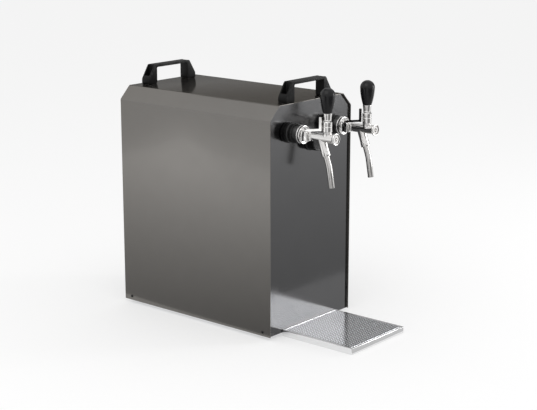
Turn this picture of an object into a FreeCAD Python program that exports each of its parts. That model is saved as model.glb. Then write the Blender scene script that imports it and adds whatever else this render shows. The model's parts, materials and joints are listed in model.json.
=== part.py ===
import FreeCAD, Part
import Sketcher
import math
import os
import re
from FreeCAD import Placement, Rotation, Vector

# Two-tap countertop beer cooler.
# Frame: +Z up, the taps face -Y, the origin is on the counter under the middle
# of the whole object. Depths are measured from the front edge of the cover
# (front_edge below) and heights from the bottom edge of the cover (floor_gap).

os.makedirs("parts", exist_ok=True)
doc = FreeCAD.newDocument("beer_cooler")
sheet = doc.addObject("Spreadsheet::Sheet", "sizes")

# Every size in millimetres or degrees, one row each: name, value, meaning.
sizes = [
    ("casing_width", 266.0, "outside width of the cover"),
    ("casing_depth", 426.0, "front edge to rear edge of the cover"),
    ("casing_height", 480.0, "bottom edge to top of the cover"),
    ("shoulder", 27.5, "width and height of the sloped shoulders"),
    ("sheet_wall", 1.2, "thickness of the cover sheet"),
    ("panel_wall", 1.5, "thickness of the panels, pan and bench"),
    ("panel_recess", 4.5, "how far the panels sit inside the cover's edges"),
    ("fit_gap", 0.3, "gap round sheet pieces that slip together"),
    ("floor_gap", 7.5, "height of the cover's bottom edge above the counter"),
    ("pan_flange", 18.0, "height of the base pan's upturned edge"),
    ("foot_radius", 13.0, "rubber foot at its top"),
    ("foot_taper", 2.0, "how much narrower the foot is where it stands"),
    ("foot_inset", 32.0, "foot centre from the cover's sides and ends"),
    ("foot_neck", 4.0, "neck of the foot in the pan"),
    ("foot_button", 6.5, "button of the foot above the pan"),
    ("foot_rise", 3.5, "height of that button"),
    ("screw_shank", 2.0, "radius of the sheet-metal screws"),
    ("screw_head", 3.2, "radius of their heads"),
    ("screw_head_rise", 1.8, "height of their heads"),
    ("screw_reach", 6.0, "length of their shanks"),
    ("screw_hole_gap", 0.2, "radial gap round a screw"),
    ("overcut", 1.0, "how far a cut runs on past a face"),
    ("side_screw_inset", 21.0, "side screws from the cover's ends"),
    ("side_screw_rise", 8.5, "side screws above the cover's bottom edge"),
    ("rear_screw_inset", 28.0, "rear screws from the middle of the side walls"),
    ("handle_length", 148.0, "handle, end to end"),
    ("handle_crown", 110.0, "length of the handle's flat top"),
    ("handle_width", 22.0, "handle, front to back"),
    ("handle_height", 41.0, "handle above the cover"),
    ("handle_shoulder", 11.0, "upright end of the handle below its slope"),
    ("handle_leg", 26.0, "length of each leg at the cover"),
    ("handle_grip", 5.5, "thickness of the grip"),
    ("handle_wall", 3.0, "wall in front of and behind the pockets"),
    ("pocket_length", 18.0, "length of each pocket"),
    ("pocket_inset", 13.5, "handle's end to the middle of its pocket"),
    ("pocket_floor", 5.5, "floor of each pocket"),
    ("handle_edge", 1.2, "rounding of the grip's long edges"),
    ("handle_inset", 7.5, "handle from the cover's front or rear edge"),
    ("handle_screw", 2.5, "radius of the handle screws"),
    ("handle_screw_head", 4.5, "radius of their heads"),
    ("handle_screw_rise", 2.2, "height of their heads"),
    ("handle_screw_length", 12.0, "handle screw under its head"),
    ("tray_width", 181.0, "drip tray"),
    ("tray_reach", 178.0, "drip tray in front of the cover's edge"),
    ("tray_height", 14.0, "drip tray rim above the counter"),
    ("tray_wall", 1.2, "drip tray sheet"),
    ("tray_rim", 5.0, "width of the folded rim"),
    ("grille_gap", 0.6, "gap between the rim and the grille"),
    ("grille_plate", 1.2, "thickness of the grille"),
    ("grille_hole", 1.9, "radius of the grille's holes"),
    ("grille_pitch", 9.0, "grille hole to hole"),
    ("grille_margin", 8.0, "plain edge of the grille"),
    ("tap_spacing", 132.0, "tap to tap"),
    ("tap_height", 420.0, "tap axis above the cover's bottom edge"),
    ("valve_bore", 5.5, "bore of the tap and of its shank"),
    ("shank_radius", 11.0, "outside of the threaded shank"),
    ("shank_inside", 42.0, "shank behind the front panel"),
    ("thread_gap", 0.2, "radial gap of screwed pieces"),
    ("nut_radius", 17.0, "corner radius of the shank nut"),
    ("nut_depth", 7.0, "thickness of the shank nut"),
    ("coupling_flange", 21.5, "radius of the black coupling at the panel"),
    ("coupling_groove", 18.0, "radius of the groove in front of its flange"),
    ("coupling_body", 20.5, "radius of its body"),
    ("coupling_nose", 18.0, "radius of its front end"),
    ("coupling_flange_depth", 9.0, "panel to groove"),
    ("coupling_groove_depth", 3.0, "width of the groove"),
    ("coupling_chamfer", 1.9, "chamfer of the coupling's flange"),
    ("coupling_depth", 28.0, "panel to collar"),
    ("collar_radius", 18.5, "chrome collar"),
    ("collar_web", 5.0, "collar behind the tap's flange"),
    ("collar_depth", 10.0, "whole collar"),
    ("collar_rim", 1.4, "wall of the collar's open mouth"),
    ("collar_mouth", 3.0, "depth of that mouth"),
    ("tail_radius", 13.4, "flange at the tap's rear"),
    ("tail_depth", 2.0, "thickness of that flange"),
    ("neck_length", 7.0, "taper from the rear flange to the barrel"),
    ("neck_curve", 6.0, "radius of that taper's hollow"),
    ("barrel_radius", 9.2, "tap barrel"),
    ("nose_radius", 12.0, "flared end of the barrel"),
    ("nose_flare", 5.0, "length of the flare"),
    ("nose_curve", 6.0, "radius of the flare's hollow"),
    ("nose_rim", 2.0, "rim of the flared end"),
    ("nose_dish", 8.0, "radius of the dish in the end"),
    ("nose_dish_depth", 2.0, "depth of the dish"),
    ("barrel_end", 118.5, "panel to the flared end"),
    ("side_boss", 11.5, "radius of the flow control's boss"),
    ("side_boss_place", 49.5, "panel to the flow control's axis"),
    ("side_boss_reach", 10.0, "tap axis to the boss's face"),
    ("spindle", 3.0, "radius of the flow control's spindle"),
    ("running_gap", 0.05, "radial gap of a spindle in its bore"),
    ("turning_gap", 0.3, "gap between faces that turn past each other"),
    ("flow_plate", 2.2, "thickness of the flow lever"),
    ("flow_eye", 8.0, "radius of the flow lever's eye"),
    ("flow_arm", 4.4, "depth of the flow lever's arm"),
    ("flow_reach", 40.5, "flow lever forward of its axis"),
    ("flow_root_height", 15.0, "top of the arm above the tap axis, at its root"),
    ("flow_arm_height", 19.5, "top of the arm above the tap axis, at the thumb tab"),
    ("flow_tip_height", 43.0, "top of the thumb tab above the tap axis"),
    ("flow_tab", 5.8, "width of the thumb tab"),
    ("side_cap_width", 12.0, "side cap, front to back"),
    ("side_cap_tall", 20.5, "side cap"),
    ("side_cap_depth", 3.2, "thickness of the side cap"),
    ("side_cap_corner", 1.5, "corners cut off the side cap"),
    ("lever_place", 95.5, "panel to the lever's pivot"),
    ("pivot_height", 24.0, "lever pivot above the tap axis"),
    ("bonnet_radius", 9.5, "lever housing and bonnet nut"),
    ("bonnet_dome", 13.0, "dome of the bonnet round the pivot"),
    ("ball_radius", 6.0, "ball of the lever"),
    ("socket_gap", 0.3, "gap round the ball"),
    ("stem_radius", 2.4, "lever stem"),
    ("stem_drop", 22.8, "pivot to the centre of the stem's end"),
    ("stem_end", 3.0, "radius of the stem's ball end"),
    ("swing_open", 20.0, "lever forward, degrees"),
    ("swing_foam", 10.0, "lever back, degrees"),
    ("ferrule_foot", 7.9, "radius of the ferrule's lower edge"),
    ("ferrule_top", 9.1, "radius of the ferrule's upper edge"),
    ("ferrule_end", 50.5, "top of the ferrule above the tap axis"),
    ("stud_radius", 3.0, "stud in the knob"),
    ("stud_length", 16.0, "stud above the ferrule"),
    ("knob_foot", 9.2, "radius of the knob's lower end"),
    ("knob_belly", 15.2, "largest radius of the knob"),
    ("knob_belly_height", 36.0, "belly above the knob's foot"),
    ("knob_side_curve", 131.3, "radius of the knob's side"),
    ("knob_length", 50.5, "height of the knob"),
    ("plunger_gap", 0.3, "gap round the plunger's heads"),
    ("plunger_start", 1.0, "plunger in front of the shank"),
    ("plunger_seal", 6.0, "length of the rear head"),
    ("plunger_rod", 2.5, "radius of the plunger's rod"),
    ("plunger_head", 15.0, "length of the slotted head"),
    ("slot_play", 1.0, "play of the stem's end in the slot"),
    ("slot_floor", 2.2, "slot floor under the tap axis"),
    ("sleeve_radius", 9.1, "spout sleeve"),
    ("sleeve_lean", 19.5, "lean of the sleeve, degrees"),
    ("sleeve_place", 80.5, "panel to where the sleeve's axis crosses the barrel's"),
    ("sleeve_drop", 37.0, "lower end of the sleeve under the tap axis"),
    ("spout_radius", 6.1, "spout tube"),
    ("spout_bore", 4.8, "inside of the spout tube"),
    ("spout_socket", 16.0, "length of the tube inside the sleeve"),
    ("spout_bend_drop", 57.0, "bend of the spout under the tap axis"),
    ("spout_bend", 90.0, "radius of the bend"),
    ("spout_tip_drop", 99.5, "tip of the spout under the tap axis"),
    ("spout_tip_lean", 9.5, "lean of the spout's lower run, degrees"),
    ("dial_height", 393.0, "thermostat axis above the cover's bottom edge"),
    ("dial_skirt", 19.5, "radius of the thermostat knob's skirt"),
    ("dial_skirt_depth", 4.3, "depth of the skirt"),
    ("dial_grip", 18.2, "radius of its grip"),
    ("dial_depth", 24.0, "whole depth of the knob"),
    ("dial_rim", 3.0, "straight edge of the skirt"),
    ("dial_chamfer", 1.5, "chamfer of the grip's front"),
    ("dial_shaft", 3.0, "radius of its shaft"),
    ("dial_shaft_in_knob", 12.0, "shaft inside the knob"),
    ("thermostat_width", 38.0, "thermostat body"),
    ("thermostat_height", 34.0, "thermostat body"),
    ("thermostat_depth", 28.0, "thermostat body"),
    ("bench_start", 28.0, "bench from the front edge"),
    ("bench_length", 280.0, "bench"),
    ("bench_height", 205.0, "top of the bench above the cover's bottom edge"),
    ("foam_start", 62.0, "foam jacket from the front edge"),
    ("foam_length", 204.0, "foam jacket"),
    ("foam_width", 210.0, "foam jacket"),
    ("foam_height", 160.0, "foam jacket without its lid"),
    ("foam_wall", 22.0, "foam thickness"),
    ("line_radius", 4.0, "beer and suction lines"),
    ("line_hole_gap", 1.0, "radial gap round a line in the foam lid"),
    ("line_bend", 16.0, "bend radius of the beer lines"),
    ("tight_bend", 8.0, "bend radius of the refrigerant lines"),
    ("line_rise", 30.0, "crossing lines above the foam lid"),
    ("drop_inset", 26.0, "lines that go down from the foam's end walls"),
    ("capillary_radius", 1.5, "capillary line"),
    ("capillary_rise", 18.0, "capillary above the foam lid"),
    ("inlet_height", 330.0, "beer inlets above the cover's bottom edge"),
    ("inlet_spacing", 100.0, "inlet to inlet"),
    ("inlet_body", 8.0, "radius of the bulkhead fitting"),
    ("inlet_neck", 6.0, "radius of the fitting inside the casing"),
    ("inlet_flange", 11.0, "radius of its flange"),
    ("inlet_flange_depth", 3.0, "thickness of its flange"),
    ("inlet_reach", 22.0, "fitting behind the cover's rear edge"),
    ("inlet_inside", 20.0, "fitting inside the rear panel"),
    ("inlet_bore", 1.9, "bore of the fitting"),
    ("compressor_radius", 54.0, "compressor shell"),
    ("compressor_height", 132.0, "compressor shell"),
    ("compressor_dome", 16.0, "rounding of the shell's ends"),
    ("compressor_offset", 45.0, "compressor left of the middle"),
    ("compressor_place", 100.0, "compressor from the front edge"),
    ("grommet_radius", 8.0, "compressor grommets"),
    ("grommet_waist", 6.4, "radius of their waists"),
    ("grommet_height", 14.0, "compressor grommets"),
    ("grommet_spread", 40.0, "grommets from the compressor's axis"),
    ("stub_length", 18.0, "tube stubs on the compressor"),
    ("suction_height", 80.0, "suction stub above the cover's bottom edge"),
    ("discharge_height", 112.0, "discharge stub above the cover's bottom edge"),
    ("stub_spread", 24.0, "stub to stub"),
    ("condenser_width", 190.0, "condenser over its end plates"),
    ("condenser_height", 176.0, "condenser"),
    ("condenser_depth", 34.0, "condenser"),
    ("condenser_rise", 22.0, "condenser above the cover's bottom edge"),
    ("condenser_clear", 14.0, "condenser to the rear panel"),
    ("fin_wall", 0.6, "condenser fins"),
    ("fin_count", 22.0, "condenser fins"),
    ("row_count", 6.0, "condenser tube rows"),
    ("tube_stub", 10.0, "condenser connections"),
    ("shroud_depth", 24.0, "fan shroud"),
    ("shroud_bore", 76.0, "radius of the shroud's ring"),
    ("shroud_ring", 2.0, "wall of the shroud's ring"),
    ("strut_width", 10.0, "struts that hold the motor"),
    ("fan_radius", 71.0, "fan blades"),
    ("fan_hub", 19.0, "fan hub"),
    ("fan_depth", 14.0, "fan hub"),
    ("fan_pitch", 28.0, "blade angle, degrees"),
    ("fan_chord", 28.0, "blade width"),
    ("fan_blades", 5.0, "number of blades"),
    ("blade_wall", 1.6, "blade thickness"),
    ("blade_root", 2.0, "blade inside the hub"),
    ("fan_gap", 1.0, "hub to the shroud's struts"),
    ("motor_radius", 26.0, "fan motor"),
    ("motor_depth", 30.0, "fan motor"),
    ("motor_shaft", 2.5, "fan shaft"),
    ("drier_radius", 9.0, "filter drier"),
    ("drier_length", 84.0, "filter drier"),
    ("drier_neck", 4.0, "radius of the drier's necks"),
    ("drier_neck_length", 8.0, "length of each neck"),
    ("drier_height", 216.0, "bottom of the drier above the cover's bottom edge"),
    ("side_lane", 116.0, "middle to the lines beside the condenser"),
    ("rear_lane", 322.0, "front edge to the lines behind the bench"),
    ("discharge_lane", 302.0, "front edge to the discharge line"),
    ("inlet_lane", 338.0, "front edge to the beer lines' upright runs"),
    ("vent_width", 3.6, "vent slots"),
    ("vent_length", 70.0, "vent slots"),
    ("vent_pitch", 11.0, "vent slot to vent slot"),
    ("vent_rows", 14.0, "vent slots in each column"),
    ("vent_start", 36.0, "lowest vent above the cover's bottom edge"),
    ("vent_spread", 88.0, "vent column to vent column"),
    ("power_height", 258.0, "power inlet and switch above the cover's bottom edge"),
    ("power_place", 78.0, "middle to the power inlet"),
    ("power_width", 27.0, "power inlet body"),
    ("power_tall", 20.0, "power inlet body"),
    ("power_flange", 4.0, "power inlet flange round its body"),
    ("power_flange_depth", 2.0, "power inlet flange"),
    ("power_depth", 26.0, "power inlet body behind its flange"),
    ("power_pin", 2.0, "thickness of the contact pins"),
    ("power_pin_tall", 5.0, "height of the contact pins"),
    ("power_pin_spread", 6.75, "middle pin to the outer pins"),
    ("power_pin_rise", 2.5, "pins above or below the inlet's middle"),
    ("power_well", 16.0, "depth of the inlet's well"),
    ("power_pin_set", 6.0, "pins inside the mouth of the well"),
    ("switch_place", 22.0, "middle to the switch"),
    ("switch_width", 14.0, "switch body"),
    ("switch_tall", 20.0, "switch body"),
    ("switch_bezel", 2.5, "switch bezel round its body"),
    ("switch_bezel_depth", 2.0, "switch bezel"),
    ("switch_depth", 18.0, "switch body behind its bezel"),
    ("rocker_wall", 1.5, "switch wall round the rocker"),
    ("rocker_gap", 0.4, "gap round the rocker"),
    ("rocker_set", 1.0, "rocker's axis inside the bezel's face"),
    ("rocker_proud", 2.5, "rocker's flat face from its axis"),
    ("rocker_tilt", 10.0, "half of the rocker's throw, degrees"),
]
for row, (name, value, meaning) in enumerate(sizes, start=1):
    sheet.set(f"A{row}", name)
    sheet.set(f"B{row}", str(value))
    sheet.setAlias(f"B{row}", name)
    sheet.set(f"C{row}", meaning)
doc.recompute()

known = {name for name, value, meaning in sizes}
nodes = []


def bound(text):
    """Give each size in a formula the sheet's name, as the formulas need."""
    return re.sub(r"[A-Za-z_]+", lambda word: "sizes." + word[0] if word[0] in known else word[0], text)


def real(text):
    """Value of a formula of sizes."""
    found = sheet.evalExpression(bound(text))
    return float(getattr(found, "Value", found))


def whole(text):
    return int(round(real(text)))


def at(thing, x="0", y="0", z="0", turn=None):
    """Place an object by formulas, after an optional fixed rotation."""
    thing.Placement = Placement(Vector(0, 0, 0), turn or Rotation())
    thing.setExpression("Placement.Base.x", bound(x))
    thing.setExpression("Placement.Base.y", bound(y))
    thing.setExpression("Placement.Base.z", bound(z))
    return thing


def turned_to(direction):
    return Rotation(Vector(0, 0, 1), Vector(*direction))


UP, DOWN = (0, 0, 1), (0, 0, -1)
RIGHT, LEFT = (1, 0, 0), (-1, 0, 0)
FORWARD, BACK = (0, -1, 0), (0, 1, 0)


def box(name, low, size):
    solid = doc.addObject("Part::Box", name)
    for side, text in zip(("Length", "Width", "Height"), size):
        solid.setExpression(side, bound(text))
    return at(solid, *low)


def rod(name, start, direction, radius, length):
    """Cylinder from its start along a direction."""
    solid = doc.addObject("Part::Cylinder", name)
    solid.setExpression("Radius", bound(radius))
    solid.setExpression("Height", bound(length))
    return at(solid, *start, turn=turned_to(direction))


def ball(name, centre, radius):
    solid = doc.addObject("Part::Sphere", name)
    solid.setExpression("Radius", bound(radius))
    return at(solid, *centre)


def joined(name, *pieces):
    fusion = doc.addObject("Part::MultiFuse", name)
    fusion.Shapes = list(pieces)
    return fusion


def cut(name, base, *tools):
    remainder = doc.addObject("Part::Cut", name)
    remainder.Base = base
    remainder.Tool = tools[0] if len(tools) == 1 else joined(name + "_tools", *tools)
    return remainder


def sketch_on(body, plane_role, outlines):
    """Sketch of closed outlines and circles whose every size is a formula.

    A corner is (x, y), or (x, y, radius) where an arc leaves it; a circle is
    ("circle", x, y, radius). A positive radius bows to the right of the way along.
    """
    sketch = body.newObject("Sketcher::SketchObject", body.Name + "_sketch")
    plane = [part for part in body.Origin.OriginFeatures if part.Role == plane_role][0]
    sketch.AttachmentSupport = [(plane, "")]
    sketch.MapMode = "FlatFace"
    for outline in outlines:
        if outline[0] == "circle":
            _, x, y, radius = outline
            circle = Part.Circle(Vector(real(x), real(y), 0), Vector(0, 0, 1), real(radius))
            edge = sketch.addGeometry(circle)
            pin_point(sketch, edge, 3, x, y)
            number = sketch.addConstraint(Sketcher.Constraint("Radius", edge, real(radius)))
            sketch.setExpression(f"Constraints[{number}]", bound(radius))
            continue
        spots = [Vector(real(corner[0]), real(corner[1]), 0) for corner in outline]
        edges = []
        for index, corner in enumerate(outline):
            start, end = spots[index], spots[(index + 1) % len(spots)]
            if len(corner) == 3:
                edge = sketch.addGeometry(bowed(start, end, real(corner[2])))
            else:
                edge = sketch.addGeometry(Part.LineSegment(start, end))
            near, far = [(sketch.getPoint(edge, vertex) - start).Length for vertex in (1, 2)]
            first = 1 if near < far else 2
            edges.append((edge, first, 3 - first))
        for index, corner in enumerate(outline):
            edge, first, last = edges[index]
            following, next_first, _ = edges[(index + 1) % len(edges)]
            sketch.addConstraint(Sketcher.Constraint("Coincident", edge, last, following, next_first))
        for index, corner in enumerate(outline):
            edge, first, _ = edges[index]
            pin_point(sketch, edge, first, corner[0], corner[1])
            if len(corner) == 3:
                bend = f"abs({corner[2]})"
                number = sketch.addConstraint(Sketcher.Constraint("Radius", edge, real(bend)))
                sketch.setExpression(f"Constraints[{number}]", bound(bend))
    return sketch


def pin_point(sketch, edge, end, x, y):
    """Hold one end of an edge at a place given by formulas."""
    for kind, text in (("DistanceX", x), ("DistanceY", y)):
        number = sketch.addConstraint(Sketcher.Constraint(kind, -1, 1, edge, end, real(text)))
        sketch.setExpression(f"Constraints[{number}]", bound(text))


def bowed(start, end, radius):
    """Arc from start to end, bowing right of the way along when radius is positive."""
    chord = end - start
    side = Vector(chord.y, -chord.x, 0).normalize()
    if radius < 0:
        side = -side
    size = abs(radius)
    rise = size - math.sqrt(size * size - chord.Length ** 2 / 4)
    return Part.Arc(start, (start + end) / 2 + side * rise, end)


def turned(name, outline, place=("0", "0", "0"), direction=UP):
    """Solid of revolution: the outline's points are (radius, distance along the axis)."""
    body = doc.addObject("PartDesign::Body", name)
    sketch = sketch_on(body, "XZ_Plane", [outline])
    spin = body.newObject("PartDesign::Revolution", name + "_spin")
    spin.Profile = sketch
    spin.ReferenceAxis = (sketch, ["V_Axis"])
    spin.Angle = 360
    at(body, *place, turn=turned_to(direction))
    return body


def slab(name, plane_role, outlines, length, place=("0", "0", "0")):
    """Outlines padded square to their plane: XY upwards, XZ forwards, YZ to the right."""
    body = doc.addObject("PartDesign::Body", name)
    sketch = sketch_on(body, plane_role, outlines)
    pad = body.newObject("PartDesign::Pad", name + "_pad")
    pad.Profile = sketch
    pad.setExpression("Length", bound(length))
    at(body, *place)
    return body


def rounded(body, radius, chosen):
    """Fillet the body's edges that the test picks, by a radius given as a formula."""
    doc.recompute()
    plain = body.Tip
    names = [f"Edge{number}" for number, edge in enumerate(plain.Shape.Edges, start=1) if chosen(edge)]
    fillet = body.newObject("PartDesign::Fillet", body.Name + "_fillet")
    fillet.Base = (plain, names)
    fillet.setExpression("Radius", bound(radius))
    return body


def tube(name, corners, radius, bend, bore=None):
    """Round tube along straight runs joined by arcs of one bend radius."""
    spots = [Vector(*(real(text) for text in corner)) for corner in corners]
    turn = real(bend)
    edges = []
    last = spots[0]
    for before, corner, after in zip(spots, spots[1:], spots[2:]):
        way_in = (corner - before).normalize()
        way_out = (after - corner).normalize()
        half = way_in.getAngle(way_out) / 2
        setback = turn * math.tan(half)
        start = corner - way_in * setback
        end = corner + way_out * setback
        inward = (way_out - way_in).normalize()
        middle = corner + inward * (turn / math.cos(half) - turn)
        edges.append(Part.LineSegment(last, start).toShape())
        edges.append(Part.Arc(start, middle, end).toShape())
        last = end
    edges.append(Part.LineSegment(last, spots[-1]).toShape())
    path = Part.Wire(edges)
    first_way = (spots[1] - spots[0]).normalize()

    def swept(size):
        ring = Part.Wire(Part.makeCircle(size, spots[0], first_way))
        return path.makePipeShell([ring], True, False, 2)

    solid = doc.addObject("Part::Feature", name)
    shape = swept(real(radius))
    if bore:
        shape = shape.cut(swept(real(bore)))
    solid.Shape = shape
    return solid


def node(label, thing, place=None):
    """Name a finished piece, which is kept as parts/label.step."""
    thing.Label = label
    if place:
        at(thing, *place)
    nodes.append(thing)
    return thing


def bundle(label, pieces):
    """Like pieces that share one node and stay separate solids."""
    group = doc.addObject("Part::Compound", label)
    group.Links = list(pieces)
    return node(label, group)


# Places that many pieces share, as formulas of the sizes.
front_edge = "((tray_reach - casing_depth - inlet_reach) / 2)"
rear_edge = f"({front_edge} + casing_depth)"
panel_face = f"({front_edge} + panel_recess)"
panel_back = f"({panel_face} + panel_wall)"
rear_face = f"({rear_edge} - panel_recess)"
rear_inside = f"({rear_face} - panel_wall)"
half_width = "(casing_width / 2)"
cover_inside = f"({half_width} - sheet_wall)"
pan_outside = f"({cover_inside} - fit_gap)"
pan_floor = "(floor_gap + panel_wall)"
cover_top = "(floor_gap + casing_height)"
bend_allowance = "(sqrt(2) - 1)"


def depth(text):
    """World Y of a depth behind the cover's front edge."""
    return f"({front_edge} + {text})"


def rise(text):
    """World Z of a height above the cover's bottom edge."""
    return f"(floor_gap + {text})"


side_screw_places = [depth("side_screw_inset"), depth("casing_depth - side_screw_inset")]
rear_screw_places = [f"-({half_width} - rear_screw_inset)", f"({half_width} - rear_screw_inset)"]
foot_places = [(f"{side} * ({half_width} - foot_inset)", depth(end))
               for side in (-1, 1) for end in ("foot_inset", "casing_depth - foot_inset")]
handle_fronts = {"front_handle": depth("handle_inset"),
                 "rear_handle": depth("casing_depth - handle_inset - handle_width")}
pocket_middle = "(handle_length / 2 - pocket_inset)"
handle_screw_places = [(f"{side} * {pocket_middle}", f"{front} + handle_width / 2")
                       for front in handle_fronts.values() for side in (-1, 1)]


def arch(wall):
    """Cover outline, drawn a wall's thickness inside the outer faces."""
    side = f"({half_width} - {wall})"
    top = f"(casing_height - {wall})"
    slope = f"(shoulder - {wall} + {wall} * {bend_allowance})"
    return [
        (f"-{side}", "0"),
        (f"{side}", "0"),
        (f"{side}", f"{top} - {slope}"),
        (f"{side} - {slope}", top),
        (f"-({side} - {slope})", top),
        (f"-{side}", f"{top} - {slope}"),
    ]


def make_cover():
    outer, inner = arch("0"), arch("sheet_wall")
    outline = outer[1:] + outer[:1] + inner[:1] + inner[:0:-1]
    shell = slab("cover_shell", "XZ_Plane", [outline], "casing_depth", ("0", rear_edge, "floor_gap"))
    drills = []
    for side, way in ((-1, RIGHT), (1, LEFT)):
        for end in side_screw_places:
            start = (f"{side} * ({half_width} + overcut)", end, rise("side_screw_rise"))
            drills.append(rod("cover_drill", start, way, "screw_shank + screw_hole_gap",
                              "sheet_wall + 2 * overcut"))
    for x, y in handle_screw_places:
        drills.append(rod("top_drill", (x, y, f"{cover_top} + overcut"), DOWN,
                          "handle_screw + screw_hole_gap", "sheet_wall + 2 * overcut"))
    node("outer_cover", cut("cover_with_holes", shell, *drills))


def make_base():
    width = f"(2 * {pan_outside})"
    length = f"({rear_inside} - {panel_back})"
    outside = box("pan_outside", (f"-{pan_outside}", panel_back, "floor_gap"), (width, length, "pan_flange"))
    inside = box("pan_inside", (f"-{pan_outside} + panel_wall", f"{panel_back} + panel_wall", pan_floor),
                 (f"{width} - 2 * panel_wall", f"{length} - 2 * panel_wall", "pan_flange"))
    drills = [inside]
    for x, y in foot_places:
        drills.append(rod("foot_drill", (x, y, "floor_gap - overcut"), UP,
                          "foot_neck + screw_hole_gap", "panel_wall + 2 * overcut"))
    for side, way in ((-1, RIGHT), (1, LEFT)):
        for end in side_screw_places:
            start = (f"{side} * ({pan_outside} + overcut)", end, rise("side_screw_rise"))
            drills.append(rod("pan_drill", start, way, "screw_shank + screw_hole_gap",
                              "panel_wall + 2 * overcut"))
    for x in rear_screw_places:
        drills.append(rod("pan_rear_drill", (x, f"{rear_inside} + overcut", rise("side_screw_rise")),
                          FORWARD, "screw_shank + screw_hole_gap", "panel_wall + 2 * overcut"))
    node("base_pan", cut("pan", outside, *drills))
    feet = []
    for x, y in foot_places:
        outline = [
            ("0", "0"), ("foot_radius - foot_taper", "0"), ("foot_radius", "floor_gap"),
            ("foot_neck", "floor_gap"), ("foot_neck", "floor_gap + panel_wall"),
            ("foot_button", "floor_gap + panel_wall"), ("foot_neck", "floor_gap + panel_wall + foot_rise"),
            ("0", "floor_gap + panel_wall + foot_rise"),
        ]
        feet.append(turned("foot", outline, (x, y, "0")))
    bundle("rubber_feet", feet)


def screw(name, place, direction, shank, head, head_rise, reach):
    """Pan-head screw whose head sits on the face at its place and whose shank goes on inwards."""
    outline = [
        ("0", f"-({reach})"), (shank, f"-({reach})"), (shank, "0"), (head, "0"),
        (head, f"{head_rise} / 2"), (f"{head} - {head_rise} / 2", head_rise), ("0", head_rise),
    ]
    return turned(name, outline, place, direction)


def make_screws():
    side_screws = []
    for side, way in ((-1, LEFT), (1, RIGHT)):
        for end in side_screw_places:
            place = (f"{side} * {half_width}", end, rise("side_screw_rise"))
            side_screws.append(screw("side_screw", place, way, "screw_shank", "screw_head", "screw_head_rise",
                                     "screw_reach"))
    bundle("cover_screws", side_screws)
    rear_screws = []
    for x in rear_screw_places:
        rear_screws.append(screw("rear_screw", (x, rear_face, rise("side_screw_rise")), BACK,
                                 "screw_shank", "screw_head", "screw_head_rise", "screw_reach"))
    bundle("rear_screws", rear_screws)


def panel(name, face):
    """Panel that fills the cover's end, its front at the given face."""
    return slab(name, "XZ_Plane", [arch("(sheet_wall + fit_gap)")], "panel_wall",
                ("0", f"{face} + panel_wall", "floor_gap"))


def make_front_panel():
    drills = []
    for side in (-1, 1):
        start = (f"{side} * tap_spacing / 2", f"{panel_face} - overcut", rise("tap_height"))
        drills.append(rod("shank_drill", start, BACK, "shank_radius + screw_hole_gap",
                          "panel_wall + 2 * overcut"))
    drills.append(rod("dial_drill", ("0", f"{panel_face} - overcut", rise("dial_height")),
                      BACK, "dial_shaft + turning_gap", "panel_wall + 2 * overcut"))
    node("front_panel", cut("front_with_holes", panel("front_sheet", panel_face), *drills))


def make_rear_panel():
    tools = []
    for column in (-1, 1):
        for row in range(whole("vent_rows")):
            low = (f"{column} * vent_spread / 2 - vent_length / 2", f"{rear_inside} - overcut",
                   rise(f"vent_start + {row} * vent_pitch"))
            tools.append(box("vent", low, ("vent_length", "panel_wall + 2 * overcut", "vent_width")))
    for side in (-1, 1):
        start = (f"{side} * inlet_spacing / 2", f"{rear_inside} - overcut", rise("inlet_height"))
        tools.append(rod("inlet_drill", start, BACK, "inlet_body + screw_hole_gap",
                         "panel_wall + 2 * overcut"))
    for x in rear_screw_places:
        tools.append(rod("rear_drill", (x, f"{rear_inside} - overcut", rise("side_screw_rise")),
                         BACK, "screw_shank + screw_hole_gap", "panel_wall + 2 * overcut"))
    for place, width, tall in (("power_place", "power_width", "power_tall"),
                               ("switch_place", "switch_width", "switch_tall")):
        tools.append(box("rear_window", (f"{place} - {width} / 2 - fit_gap", f"{rear_inside} - overcut",
                                         rise(f"power_height - {tall} / 2 - fit_gap")),
                         (f"{width} + 2 * fit_gap", "panel_wall + 2 * overcut", f"{tall} + 2 * fit_gap")))
    node("rear_panel", cut("rear_with_holes", panel("rear_sheet", rear_inside), *tools))


def make_handles():
    half, crown = "(handle_length / 2)", "(handle_crown / 2)"
    under = "(handle_height - handle_grip)"
    outline = [
        (f"-{half}", "0"), (f"-({half} - handle_leg)", "0"), (f"-({half} - handle_leg)", under),
        (f"{half} - handle_leg", under), (f"{half} - handle_leg", "0"), (half, "0"),
        (half, "handle_shoulder"), (crown, "handle_height"), (f"-{crown}", "handle_height"),
        (f"-{half}", "handle_shoulder"),
    ]
    for label, front in handle_fronts.items():
        frame = slab(label + "_frame", "XZ_Plane", [outline], "handle_width",
                     ("0", f"{front} + handle_width", cover_top))
        rounded(frame, "handle_edge", is_outline_edge)
        tools = []
        for side in (-1, 1):
            middle = f"{side} * {pocket_middle}"
            low = (f"{middle} - pocket_length / 2", f"{front} + handle_wall", f"{cover_top} + pocket_floor")
            size = ("pocket_length", "handle_width - 2 * handle_wall", "handle_height")
            tools.append(box("pocket", low, size))
            under_floor = (middle, f"{front} + handle_width / 2", f"{cover_top} - overcut")
            tools.append(rod("handle_drill", under_floor, UP, "handle_screw + screw_hole_gap",
                             "pocket_floor + 2 * overcut"))
        node(label, cut(label + "_pocketed", frame, *tools))
    screws = [screw("handle_screw", (x, y, f"{cover_top} + pocket_floor"), UP, "handle_screw",
                    "handle_screw_head", "handle_screw_rise", "handle_screw_length")
              for x, y in handle_screw_places]
    bundle("handle_screws", screws)


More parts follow.
